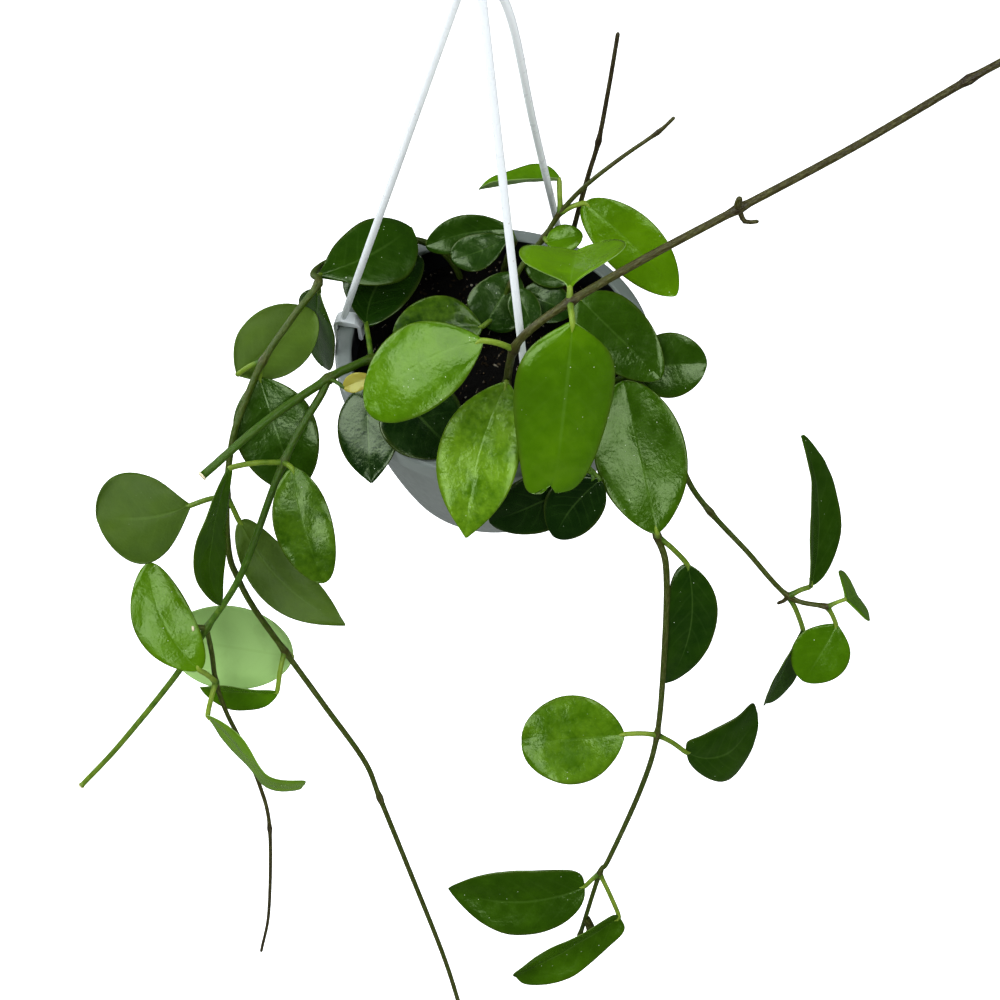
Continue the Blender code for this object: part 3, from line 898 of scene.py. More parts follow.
def turned(profile: Sequence[tuple[float, float]], segments: int, centre: Place = (0, 0, 0)) -> Shape:
    """Turns a profile of (radius, height) points about an upright axis.

    Args:
        profile: The line from the axis, round the outside, back to the axis.
        segments: Steps of the turn.
        centre: A place on the axis; its height is not used.

    Returns:
        The closed shape.
    """
    shape, rings = Shape(), []
    for radius, height in profile:
        if radius == 0:
            shape.points.append(Vector((centre[0], centre[1], height)))
            rings.append([len(shape.points) - 1] * segments)
            continue
        rings.append(list(range(len(shape.points), len(shape.points) + segments)))
        for i in range(segments):
            turn = 2 * math.pi * i / segments
            x, y = radius * math.cos(turn), radius * math.sin(turn)
            shape.points.append(Vector((centre[0] + x, centre[1] + y, height)))
    for low, high in zip(rings, rings[1:]):
        for i in range(segments):
            j = (i + 1) % segments
            shape.faces.append(tuple(dict.fromkeys((low[i], low[j], high[j], high[i]))))
    return shape


# ---------------------------------------------------------------------- geometry nodes


class Maker:
    """A Geometry Nodes tree that is run on an object and leaves it a plain mesh."""

    name: str
    inputs: tuple[Socket, ...]

    def __init__(self) -> None:
        """Builds the tree, with one geometry going in and one coming out."""
        inputs = (Socket("Geometry", "Geometry"), *self.inputs)
        outputs = (Socket("Geometry", "Geometry"),)
        self.tree = NodeGroup(self.name, inputs, outputs, self.draw, "GeometryNodeTree").tree

    def draw(self, graph: Graph, given: Any) -> dict:
        """Adds the tree's nodes. Each kind of maker has its own."""
        raise NotImplementedError

    def run(self, obj: bpy.types.Object, **values: Any) -> bpy.types.Object:
        """Runs the tree on an object.

        Args:
            obj: The object whose mesh the tree reads.
            values: The tree's inputs by name, with _ for a space.

        Returns:
            The object, with the tree's result as its mesh and no modifier.
        """
        modifier = obj.modifiers.new("maker", "NODES")
        modifier.node_group = self.tree
        for item in self.tree.interface.items_tree:
            key = item.name.replace(" ", "_")
            if item.in_out == "INPUT" and key in values:
                modifier[item.identifier] = values[key]
        obj.update_tag()
        return baked(obj)


class RodMaker(Maker):
    """A round rod along each line of edges, as thick as the girth that its points carry."""

    name = "rod_along_line"
    inputs = (
        Socket("Sides", "Int", 12), Socket("Bark", start=0.0), Socket("Material", "Material"),
    )
    bark_scale = 1.1

    @staticmethod
    def captured(graph: Graph, geometry: Any, value: Any, kind: str) -> bpy.types.bpy_prop_collection:
        """Keeps a value with a geometry.

        Args:
            graph: The tree's graph.
            geometry: The geometry.
            value: What is kept at its points.
            kind: The sort of value.

        Returns:
            The geometry and the kept value.
        """
        made = graph.node("GeometryNodeCaptureAttribute", {0: geometry})
        made.capture_items.new(kind, "Kept")
        graph.tree.links.new(value, made.inputs[1])
        return made.outputs

    def draw(self, graph: Graph, given: Any) -> dict:
        """Sweeps a circle along the lines and roughens the result.

        Args:
            graph: The tree's graph.
            given: Its inputs.

        Returns:
            The finished geometry.
        """
        lines = graph.node("GeometryNodeMeshToCurve", {0: given["Geometry"]}).outputs[0]
        along = graph.node("GeometryNodeSplineParameter").outputs["Length"]
        kept = self.captured(graph, lines, along, "FLOAT")
        circle = graph.node(
            "GeometryNodeCurvePrimitiveCircle", {"Resolution": given["Sides"], "Radius": 1.0}
        )
        place = graph.node("GeometryNodeInputPosition").outputs[0]
        ring = self.captured(graph, circle.outputs[0], place, "VECTOR")
        girth = graph.node("GeometryNodeInputNamedAttribute", {"Name": "girth"}).outputs[0]
        swept = graph.node(
            "GeometryNodeCurveToMesh",
            {"Curve": kept[0], "Profile Curve": ring[0], "Scale": girth, "Fill Caps": True},
        ).outputs[0]
        turn = graph.node("ShaderNodeSeparateXYZ", {0: ring[1]}).outputs
        length = graph.math("MULTIPLY", kept[1], 1.0 / MM)
        grain = graph.node("ShaderNodeCombineXYZ", {0: turn[0], 1: turn[1], 2: length}).outputs[0]
        stored = graph.node(
            "GeometryNodeStoreNamedAttribute",
            {"Geometry": swept, "Name": "grain", "Value": grain},
            data_type="FLOAT_VECTOR", domain="POINT",
        ).outputs[0]
        rough = graph.math("SUBTRACT", graph.noise(grain, self.bark_scale, 2.0), 0.5)
        height = graph.math("MULTIPLY", rough, given["Bark"])
        out = graph.node("GeometryNodeInputNormal").outputs[0]
        offset = graph.node("ShaderNodeVectorMath", {0: out, 3: height}, operation="SCALE").outputs[0]
        moved = graph.node(
            "GeometryNodeSetPosition", {"Geometry": stored, "Offset": offset}
        ).outputs[0]
        smooth = graph.node("GeometryNodeSetShadeSmooth", {0: moved}).outputs[0]
        real = graph.node("GeometryNodeRealizeInstances", {0: smooth}).outputs[0]
        values = {"Geometry": real, "Material": given["Material"]}
        return {"Geometry": graph.node("GeometryNodeSetMaterial", values).outputs[0]}


class CrumbMaker(Maker):
    """Uneven bits strewn over the faces of a mesh, each with its own size, turn and shade."""

    name = "strewn_crumbs"
    inputs = (
        Socket("Density", start=20000.0), Socket("Smallest", "Vector"),
        Socket("Largest", "Vector"), Socket("Darkest", start=0.2), Socket("Palest", start=0.8),
        Socket("Seed", "Int", 1), Socket("Material", "Material"),
    )
    roundness = 2
    lump_scale = 1.3
    full_turn = (6.28, 6.28, 6.28)
    turn_seed, tint_seed = 7, 3

    def draw(self, graph: Graph, given: Any) -> dict:
        """Strews lumpy grains on points of the faces.

        Args:
            graph: The tree's graph.
            given: Its inputs.

        Returns:
            The finished geometry.
        """
        strewn = graph.node(
            "GeometryNodeDistributePointsOnFaces",
            {0: given["Geometry"], 4: given["Density"], "Seed": given["Seed"]},
        ).outputs[0]
        ball = graph.node("GeometryNodeMeshIcoSphere", {0: 1.0, 1: self.roundness}).outputs[0]
        place = graph.node("GeometryNodeInputPosition").outputs[0]
        values = {"Vector": place, "Scale": self.lump_scale, "Detail": 1.0}
        lump = graph.node("ShaderNodeTexNoise", values).outputs["Color"]
        values = {0: lump, 1: (0.5, 0.5, 0.5)}
        push = graph.node("ShaderNodeVectorMath", values, operation="SUBTRACT").outputs[0]
        grain = graph.node(
            "GeometryNodeSetPosition", {"Geometry": ball, "Offset": push}
        ).outputs[0]
        sizes = graph.node(
            "FunctionNodeRandomValue",
            {0: given["Smallest"], 1: given["Largest"], "Seed": given["Seed"]},
            data_type="FLOAT_VECTOR",
        ).outputs[0]
        turns = graph.node(
            "FunctionNodeRandomValue",
            {0: (0.0, 0.0, 0.0), 1: self.full_turn, "Seed": self.turn_seed},
            data_type="FLOAT_VECTOR",
        ).outputs[0]
        placed = graph.node(
            "GeometryNodeInstanceOnPoints",
            {"Points": strewn, "Instance": grain, "Rotation": turns, "Scale": sizes},
        ).outputs[0]
        tint = graph.node(
            "FunctionNodeRandomValue",
            {2: given["Darkest"], 3: given["Palest"], "Seed": self.tint_seed},
            data_type="FLOAT",
        ).outputs[1]
        tinted = graph.node(
            "GeometryNodeStoreNamedAttribute",
            {"Geometry": placed, "Name": "shade", "Value": tint},
            data_type="FLOAT", domain="INSTANCE",
        ).outputs[0]
        real = graph.node("GeometryNodeRealizeInstances", {0: tinted}).outputs[0]
        smooth = graph.node("GeometryNodeSetShadeSmooth", {0: real}).outputs[0]
        values = {"Geometry": smooth, "Material": given["Material"]}
        return {"Geometry": graph.node("GeometryNodeSetMaterial", values).outputs[0]}


# ---------------------------------------------------------------------------- the plant


class Faces(Enum):
    """The side that a stem's leaves turn their upper faces to, as a turn from +X."""

    FRONT = -90.0
    BACK = 90.0


class End(Enum):
    """How a stem ends."""

    CUT = "cut"
    TIP = "tip"


@dataclass(frozen=True)
class Leaf:
    """A leaf: the route point it grows from, its stalk, and its blade's size, pose and look.

    heading is the turn of the midrib from +X, rise its tilt above the horizontal, roll
    the turn about it away from the light, and fold how far the halves lift, in degrees.
    curl drops the tip, hook lifts the very tip and bow bends the midrib sideways, as
    shares of the length. widest is the place of the blade's widest part, and base and
    apex run from full and round to narrow and pointed. notch is how deep the end is
    cleft, in millimetres. tone runs from deep green to yellow-green, mottle is how much
    it is yellowed in patches and wither how much of it has dried.
    """

    at: int
    stalk: Place
    length: float
    width: float
    heading: float
    rise: float
    roll: float = 0.0
    fold: float = 6.0
    curl: float = 0.10
    widest: float = 0.48
    notch: float = 0.0
    tone: float = 0.4
    mottle: float = 0.0
    apex: float = 0.1
    base: float = 0.25
    wither: float = 0.0
    hook: float = 0.0
    bow: float = 0.0

    # The blade's grid: rows along it, and the places of its columns across one half.
    rows = 30
    columns = (0.0, 0.05, 0.13, 0.26, 0.42, 0.58, 0.73, 0.86, 0.95, 1.0)
    light_rise = 57.0
    # The outline: half widths at the two ends, and the power that rounds its sine, which
    # apex changes beyond outer_from and base changes up to inner_to.
    root, root_end = 1.1, 0.12
    power, power_apex, power_outer = 0.54, 0.50, -0.06
    outer_from, outer_reach, inner_to = 0.55, 0.45, 0.3
    # The cleft: how far it stands aside, its half width, and how near the tip it stays.
    cleft_off, cleft_half, cleft_power = 0.4, 3.0, 14
    # The relief: edge waves as a share of the length, ripples and mottled dents in
    # millimetres, each with its scale along and across, and the cupping and rim roll.
    wave, wave_turns, wave_skew = 0.012, 3 * math.pi, 1.3
    ripple, ripple_scale = 0.55, (0.09, 0.11)
    dent, dent_mottled, dent_scale = 0.12, 0.35, (0.30, 0.34)
    seed_share, dent_seed, ripple_starts = 1.7, 9, 6
    cup_power, rim_roll, rim_power = 1.4, 0.05, 6
    hook_from, hook_reach = 0.7, 0.3
    # The thickness at the midrib and at the rim, and the grooves along the midrib.
    thick, thin, thin_power, end_power = 1.05, 0.45, 3, 6
    groove_half, groove_above, groove_below = 0.9, 0.14, 0.35
    # The stalk: its arch, how far it sinks into the midrib, and its radius, which grows
    # with the blade, swells at the stem and tapers under the blade.
    stalk_step, stalk_arch, stalk_sunk = 1.6, 0.08, 0.055
    stalk_least, stalk_grows, stalk_most = 0.75, 0.012, 1.25
    stalk_swell, swell_points, stalk_taper = 0.45, 1.5, 0.75
    # The stalk's age: older at the stem, and on withered and dark leaves.
    age_near, age_points, age_wither, age_dark = 0.30, 2.0, 0.22, 0.30

    def frame(self, faces: Faces) -> tuple[Vector, Vector, Vector]:
        """Finds how the blade stands.

        Args:
            faces: The side that it turns its upper face to.

        Returns:
            Directions along the midrib, across the blade and out of its upper face.
        """
        along, light = toward(self.heading, self.rise), toward(faces.value, self.light_rise)
        upper = (light - along * light.dot(along)).normalized()
        upper = Matrix.Rotation(math.radians(self.roll), 3, along) @ upper
        return along, upper.cross(along), upper

    def half_width(self, t: float) -> float:
        """Gives the blade's half width.

        Args:
            t: The place along the midrib, from 0 to 1.

        Returns:
            The half width there.
        """
        wave = max(math.sin(math.pi * t ** (math.log(0.5) / math.log(self.widest))), 0.0)
        outer = min(max((t - self.outer_from) / self.outer_reach, 0.0), 1.0)
        inner = max(1.0 - t / self.inner_to, 0.0)
        at_tip = (self.power_apex * self.apex + self.power_outer) * outer
        root = self.root * (1 - t) + self.root_end
        return root + (self.width / 2 - root) * wave ** (self.power + at_tip + self.base * inner)

    def uneven(self, x: float, y: float, seed: float) -> float:
        """Finds how far the blade's ripples and small dents lift a place on it.

        Args:
            x: The place along the midrib.
            y: The place across.
            seed: What sets this blade's ripples apart.

        Returns:
            The lift, which may be below 0.
        """
        broad, fine = self.ripple_scale, self.dent_scale
        depth = self.dent + self.dent_mottled * self.mottle
        found = self.ripple * noise.noise(Vector((x * broad[0], y * broad[1], seed)))
        place = Vector((x * fine[0], y * fine[1], seed + self.dent_seed))
        return found + depth * noise.noise(place)

    def middle(self, t: float, s: float, seed: float) -> Vector:
        """Finds a point of the blade's middle surface.

        Args:
            t: The place along the midrib, from 0 to 1.
            s: The place across, from -1 to 1.
            seed: What sets this blade's ripples apart.

        Returns:
            The point, along the midrib, across the blade and above it.
        """
        half, fold = self.half_width(t), math.radians(self.fold)
        near = max(0.0, 1.0 - abs(s * half) / self.cleft_half)
        x = self.length * t - self.notch * near * t**self.cleft_power
        y = s * half * math.cos(fold) + 4 * self.bow * self.length * t * (1 - t)
        y -= self.cleft_off * self.notch * t**self.cleft_power
        edge = math.sin(self.wave_turns * t + self.wave_skew * s) * s * s
        z = abs(s) ** self.cup_power * half * math.sin(fold) - self.curl * self.length * t * t
        z += self.hook * self.length * max(0.0, (t - self.hook_from) / self.hook_reach) ** 2
        z -= self.rim_roll * half * abs(s) ** self.rim_power
        z += self.wave * self.length * edge
        z += self.uneven(x, y, seed) * min(1.0, self.ripple_starts * t)
        return Vector((x, y, z))

    def blade(self, base: Vector, faces: Faces) -> Shape:
        """Makes the blade, thick at its grooved midrib and thin at its rim.

        Args:
            base: The place where the stalk meets it.
            faces: The side that it turns its upper face to.

        Returns:
            The closed blade, with its blade and look values.
        """
        seed = self.length * self.seed_share + self.heading
        ts = [0.5 - 0.5 * math.cos(math.pi * i / (self.rows - 1)) for i in range(self.rows)]
        ss = [-c for c in reversed(self.columns[1:])] + list(self.columns)
        grid = np.array([[self.middle(t, s, seed) for s in ss] for t in ts])
        normal = np.cross(np.gradient(grid, axis=0), np.gradient(grid, axis=1))
        normal /= np.maximum(np.linalg.norm(normal, axis=2, keepdims=True), TINY)
        along, across = np.array(ts)[:, None], np.array(ss)[None, :]
        fullness = (1 - np.abs(across) ** self.thin_power) * (1 - along**self.end_power)
        half = (self.thin + (self.thick - self.thin) * fullness) / 2
        groove = np.exp(-((across * self.width / 2 / self.groove_half) ** 2)) * (1 - along)
        lifts = {0.0: half - self.groove_above * groove, 1.0: -half - self.groove_below * groove}
        frame = np.array(self.frame(faces))
        shape = Shape(values={"blade": [], "look": []})
        for below, lift in lifts.items():
            local = (grid + normal * lift[..., None]).reshape(-1, 3)
            shape.points += [Vector(p) for p in np.array(base) + local @ frame]
            shape.values["blade"] += [(s, t, below) for t in ts for s in ss]
        shape.values["look"] = [(self.tone, self.mottle, self.wither)] * len(shape.points)
        shape.faces = list(self.skin(len(ts), len(ss)))
        return shape

    @staticmethod
    def skin(rows: int, columns: int) -> Iterable[tuple[int, ...]]:
        """Covers two grids of points, one above the other, and closes their edge.

        Args:
            rows: The rows of each grid.
            columns: The columns of each grid.

        Yields:
            The faces, each as the indices of its points.
        """
        below = rows * columns
        for r in range(rows - 1):
            for c in range(columns - 1):
                a = r * columns + c
                yield (a, a + columns, a + columns + 1, a + 1)
                yield (a + below, a + 1 + below, a + columns + 1 + below, a + columns + below)
        edge = list(range(columns)) + [r * columns + columns - 1 for r in range(1, rows)]
        edge += [(rows - 1) * columns + c for c in range(columns - 2, -1, -1)]
        edge += [r * columns for r in range(rows - 2, 0, -1)]
        for a, b in zip(edge, edge[1:] + edge[:1]):
            yield (a, b, b + below, a + below)

    def stalk_line(self, start: Vector, faces: Faces) -> Shape:
        """Makes the stalk's line, arched a little and sunk along the midrib.

        Args:
            start: The place on the stem where it grows.
            faces: The side that the blade turns its upper face to.

        Returns:
            The line, with its girth, age and cut.
        """
        base = start + Vector(self.stalk)
        arch = self.stalk_arch * (base - start).length
        middle = (start + base) / 2 + Vector((0, 0, arch))
        sunk = base + self.frame(faces)[0] * (self.stalk_sunk * self.length)
        points, places = smooth_route((start, middle, base, sunk), self.stalk_step)
        thick = min(self.stalk_most, self.stalk_least + self.stalk_grows * self.length)
        under, last = places[2], len(points) - 1
        dark = self.age_wither * self.wither + self.age_dark * (1 - self.tone) ** 2
        girth, age = [], []
        for k in range(last + 1):
            beyond = max(0, k - under) / max(1, last - under)
            near = math.exp(-((k / self.swell_points) ** 2))
            girth.append((thick + self.stalk_swell * near) * (1.0 - self.stalk_taper * beyond))
            age.append(self.age_near * math.exp(-k / self.age_points) + dark)
        return rod_line(points, girth, age=age, cut=[0.0] * (last + 1))


@dataclass(frozen=True)
class Stem:
    """A stem: its route, its radius and age at both ends, its joints and what grows from it."""

    route: tuple[Place, ...]
    radii: Span
    joints: tuple[int, ...] = ()
    leaves: tuple[Leaf, ...] = ()
    branches: tuple["Stem", ...] = ()
    faces: Faces = Faces.FRONT
    age: Span = (0.45, 0.6)
    end: End = End.TIP

    step = 2.4
    swell, swell_reach, swell_age = 0.42, 2.6, 0.18
    # Points past the route's last one: how far on, the share of the last radius, and
    # whether the pith shows. A cut end's are in millimetres, and a tip's in radii.
    finishes = {
        End.CUT: ((0.05, 1.10, 0.0), (0.30, 1.24, 1.0), (0.90, 1.16, 1.0), (1.10, 0.70, 1.0)),
        End.TIP: ((0.5, 0.85, 0.0), (0.9, 0.55, 0.0), (1.1, 0.15, 0.0)),
    }

    def own_line(self) -> Shape:
        """Makes the stem's own line, swollen at its joints and finished at its end.

        Returns:
            The line, with its girth, age and cut.
        """
        points, places = smooth_route(self.route, self.step)
        along = distances(points)
        joints = [along[places[j]] for j in self.joints]
        girth, age = [], []
        for here in along:
            part = here / along[-1]
            bumps = (math.exp(-(((here - j) / self.swell_reach) ** 2)) for j in joints)
            near = max(bumps, default=0)
            radius = self.radii[0] + (self.radii[1] - self.radii[0]) * part
            girth.append(radius * (1 + self.swell * near))
            age.append(self.age[0] + (self.age[1] - self.age[0]) * part + self.swell_age * near)
        end, ahead = points[-1], (points[-1] - points[-2]).normalized()
        radius, reach = girth[-1], 1.0 if self.end is End.CUT else self.radii[1]
        cut = [0.0] * len(points)
        for on, share, sawn in self.finishes[self.end]:
            points.append(end + ahead * on * reach)
            girth.append(radius * share)
            age.append(age[-1])
            cut.append(sawn)
        return rod_line(points, girth, age=age, cut=cut)

    def lines(self) -> Shape:
        """Makes the lines of the stem, its stalks and its branches.

        Returns:
            All of the lines.
        """
        found = self.own_line()
        for leaf in self.leaves:
            found.add(leaf.stalk_line(Vector(self.route[leaf.at]), self.faces))
        for branch in self.branches:
            found.add(branch.lines())
        return found

    def blades(self) -> Shape:
        """Makes the blades of the stem's leaves and of its branches' leaves.

        Returns:
            All of the blades.
        """
        found = Shape()
        for leaf in self.leaves:
            found.add(leaf.blade(Vector(self.route[leaf.at]) + Vector(leaf.stalk), self.faces))
        for branch in self.branches:
            found.add(branch.blades())
        return found


BARE_SHOOT = Stem(
    route=(
        (35, 46, -34), (35, 46, -12), (36, 46, 20), (42, 51, 56), (46, 54, 76), (49, 58, 104),
        (51, 61, 128),
    ),
    radii=(1.5, 0.9), age=(0.9, 1.0),
    joints=(4,),
)

BACK_SHOOT = Stem(
    route=(
        (2, 18, -34), (2, 18, -12), (2, 19, -3), (5, 24, 6), (8, 27, 12), (16, 33, 25), (23, 36, 34),
        (30, 40, 46), (41, 43, 60), (56, 46, 74), (71, 48, 87), (77, 49, 94),
    ),
    radii=(1.7, 0.8), age=(0.45, 0.8),
    joints=(2, 4, 6, 7, 10),
    leaves=(
        Leaf(2, (-7, -6, 0), 29, 28, 49, 39, widest=0.35, tone=0.3),
        Leaf(2, (-8, -8, 2), 42, 30, -169, 7, fold=-6, bow=-0.04, tone=0.34, mottle=0.5),
        Leaf(3, (8, 2, 1), 26, 20, -28, 0, tone=0.3),
        Leaf(4, (2, -4, 1), 22, 15, -65, -20, tone=0.3),
        Leaf(4, (6, 7, 7), 25, 18, -14, -5, tone=0.35),
        Leaf(6, (1, -4, 1), 17, 13, 11, 6, tone=0.8),
        Leaf(7, (-1, 10, 11), 40, 25, 164, -17, roll=60, fold=24, tone=0.8),
        Leaf(
            7, (11, 1, 5), 61, 27, -32, -31, roll=10, fold=5, bow=0.03, tone=0.9, apex=0.3,
            base=0.0,
        ),
    ),
)

LONG_SHOOT = Stem(
    route=(
        (3, -44, -34), (3, -44, -12), (4, -47, 14), (6, -53, 38), (9, -57, 67), (17, -55, 79),
        (31, -48, 86), (59, -35, 96), (97, -20, 110), (140, -3, 126), (184, 16, 144),
        (205, 24, 152), (221, 30, 158),
    ),
    radii=(1.8, 1.5), age=(0.66, 0.95),
    joints=(3, 4, 6, 8, 10),
    leaves=(
        Leaf(
            3, (0, -6, 9), 68, 35, -108, -36, roll=3, fold=10, bow=-0.05, tone=0.72, mottle=0.9,
            apex=0.9,
        ),
        Leaf(
            4, (-13, -3, 9), 57, 37, -162, -25, roll=12, fold=-4, widest=0.55, bow=-0.08,
            tone=0.74, mottle=0.25, base=0.1,
        ),
        Leaf(
            6, (0, 4, 4), 40, 47, 84, -20, roll=-15, fold=22, curl=0.1, widest=0.55, tone=1.0,
            base=1.1,
        ),
        Leaf(
            6, (1, -10, -1), 78, 42, -96, -57, roll=-10, fold=-6, widest=0.37, notch=4.5,
            tone=0.78, apex=-0.5, base=0.8,
        ),
    ),
    branches=(
        Stem(
            route=((97, -20, 110), (96, -21, 113), (96, -22, 117)), radii=(1.5, 1.3),
            age=(0.9, 0.8),
        ),
        Stem(
            route=((97, -20, 110), (100, -22, 105), (105, -21, 104)), radii=(1.2, 0.8),
            age=(0.9, 0.8),
        ),
    ),
)

INNER_SHOOT = Stem(
    route=((36, 8, -34), (36, 8, -12), (37, 5, 12), (38, 2, 27)),
    radii=(1.5, 1.2), age=(0.5, 0.5),
    joints=(3,),
    leaves=(Leaf(3, (0, 0, 4), 52, 31, -44, -13, fold=5, widest=0.42, tone=0.5, base=0.35),),
)

LEFT_SHOOT = Stem(
    route=(
        (-45, -9, -34), (-45, -9, -12), (-48, -11, 0), (-56, -17, 9), (-65, -25, 13), (-74, -33, 15),
        (-99, -59, 18), (-124, -84, 13),
    ),
    radii=(2.1, 1.8), age=(0.4, 0.35), end=End.CUT,
    joints=(3, 5),
    leaves=(
        Leaf(3, (-4, 23, -3), 51, 35, 65, 3, roll=-9, widest=0.5, bow=0.13, tone=0.2),
        Leaf(5, (8, -7, 3), 13, 9, 8, 25, fold=20, wither=1.0),
    ),
    branches=(
        Stem(
            route=(
                (-74, -33, 15), (-77, -41, 13), (-86, -56, 7), (-93, -67, -2), (-98, -76, -10),
                (-114, -104, -39), (-131, -121, -59), (-147, -137, -77), (-176, -160, -105),
                (-196, -173, -123),
            ),
            radii=(1.8, 1.3), age=(0.42, 0.15), end=End.CUT,
            joints=(3, 6),
            leaves=(
                Leaf(
                    3, (-22, -8, 7), 62, 23, -96, -42, roll=-68, fold=6, widest=0.6, bow=-0.15,
                    hook=0.08, tone=0.5, base=0.2,
                ),
                Leaf(
                    3, (5, -6, 4), 53, 26, -71, -36, roll=-7, fold=8, bow=-0.04, tone=0.5,
                    mottle=0.3, base=0.15,
                ),
            ),
            branches=(
                Stem(
                    route=((-131, -121, -59), (-134, -122, -56), (-136, -123, -55)),
                    radii=(1.4, 1.2), age=(0.6, 0.6), end=End.CUT,
                ),
                Stem(
                    route=(
                        (-131, -121, -59), (-130, -128, -72), (-130, -135, -87), (-127, -143, -102),
                        (-122, -151, -119), (-115, -164, -144), (-112, -178, -169), (-117, -205, -220),
                        (-123, -220, -244),
                    ),
                    radii=(1.2, 0.8), age=(0.6, 1.0),
                    joints=(2, 6),
                    leaves=(
                        Leaf(
                            2, (-4, -2.7, 19), 54, 27, 122, 42, roll=5, fold=4, bow=0.09,
                            tone=0.86, base=0.15,
                        ),
                        Leaf(
                            2, (-4, -13, -10), 55, 29, -43, -15, roll=63, fold=0, curl=-0.06,
                            widest=0.45, bow=0.05, hook=-0.26, tone=1.0, apex=-0.6, base=0.1,
                        ),
                    ),
                ),
            ),
        ),
    ),
)

LEFT_TRAILER = Stem(
    route=(
        (-18, 53, -34), (-18, 53, -12), (-28, 57, 3), (-45, 57, 10), (-64, 48, 13), (-79, 32, 20),
        (-83, 16, 30), (-79, 4, 37), (-90, -11, 31), (-103, -28, 21), (-111, -42, 10),
        (-117, -55, -1), (-121, -73, -21),
        (-122, -89, -44), (-119, -96, -56), (-113, -104, -70), (-100, -116, -92), (-82, -133, -119),
        (-64, -150, -147), (-57, -162, -167), (-44, -185, -205), (-26, -218, -256), (-16, -241, -290),
    ),
    radii=(1.7, 1.2), age=(0.5, 0.65),
    joints=(7, 9, 12, 16, 19),
    leaves=(
        Leaf(7, (-1, 11, -7), 57, 35, 44, -5, roll=-9, fold=-5, widest=0.6, bow=-0.06, tone=0.35),
        Leaf(7, (-1, 3, -9), 54, 30, -154, -80, roll=40, tone=0.3),
        Leaf(9, (-12, -2, -7), 47, 32, 51, -3, roll=180, fold=-8, tone=0.4),
        Leaf(9, (-2, -4, -7), 54, 38, -69, -41, fold=8, tone=0.4),
        Leaf(
            12, (5, -7, -11), 68, 24, -34, -36, roll=170, fold=-10, bow=0.09, tone=0.35, apex=0.9,
            base=0.0,
        ),
        Leaf(
            12, (-16, -6, 1), 41, 43, -161, 13, roll=194, fold=-5, widest=0.6, bow=-0.08,
            tone=0.3, base=0.15,
        ),
        Leaf(16, (-4, -16, -13), 39, 22, 179, -6, roll=-45, fold=28, tone=0.75),
        Leaf(16, (2, 2, -11), 62, 41, 174, 9, roll=180, fold=-6, tone=1.0, mottle=0.4, base=0.0),
    ),
)

FRONT_LEFT_SHOOT = Stem(
    route=((-32, -34, -34), (-32, -34, -12), (-35, -34, -4), (-38, -33, 2)),
    radii=(1.5, 1.3), age=(0.5, 0.5),
    joints=(3,),
    leaves=(
        Leaf(3, (-19, 1, 9), 45, 29, -88, -25, roll=14, fold=3, tone=0.15, apex=0.8),
        Leaf(3, (-8, -2, 9), 41, 38, -45, -9, roll=-12, fold=6, tone=0.05),
    ),
)

FRONT_SHOOT = Stem(
    route=((24, -51, -34), (24, -51, -12), (27, -56, 3), (35, -68, 8)),
    radii=(1.5, 1.3), age=(0.5, 0.5),
    joints=(3,),
    leaves=(
        Leaf(3, (9, -12, -1), 49, 29, -159, -16, roll=-26, fold=6, tone=0.1),
        Leaf(3, (12, -12, -2), 32, 27, -132, -30, roll=-20, fold=6, bow=-0.08, tone=0.1),
    ),
)

FRONT_RIGHT_TRAILER = Stem(
    route=(
        (37, -42, -34), (37, -42, -12), (41, -47, 3), (50, -58, 9), (64, -73, -2), (75, -88, -28),
        (80, -98, -42), (82, -119, -81), (82, -142, -129), (76, -158, -163), (62, -180, -209),
        (58, -184, -219), (49, -206, -260),
    ),
    radii=(1.7, 1.2), age=(0.7, 0.55),
    joints=(5, 8, 11, 12),
    leaves=(
        Leaf(5, (-2, -6.5, 14), 68, 41, 107, 40, fold=9, widest=0.53, tone=0.55, base=0.1),
        Leaf(5, (15, -7, -14), 66, 24, -98, -55, roll=0, fold=8, widest=0.38, bow=0.09, tone=0.3),
        Leaf(
            8, (-17, -2, 5), 50, 44, -171, 4, fold=5, widest=0.51, tone=0.72, mottle=0.5,
            apex=-0.15, base=0.1,
        ),
        Leaf(
            8, (16, -4, -13), 44, 36, 27, 0, roll=30, fold=2, widest=0.5, bow=-0.3, tone=0.4,
            apex=-0.3, base=-0.2,
        ),
        Leaf(
            11, (-8, -5, -7), 74, 39, -177, -5, roll=-12, fold=8, widest=0.44, bow=0.1, tone=0.5,
            apex=0.5, base=-0.1,
        ),
        Leaf(
            11, (11, -18, -18), 66, 30, -150, -20, roll=-32, fold=27, widest=0.54, tone=0.6,
            apex=-0.4, base=-0.3,
        ),
    ),
    branches=(Stem(
        route=((52, -200, -248), (54, -203, -251), (55, -205, -254)), radii=(2.2, 2.6),
        age=(0.7, 0.8), end=End.CUT,
    ),),
)

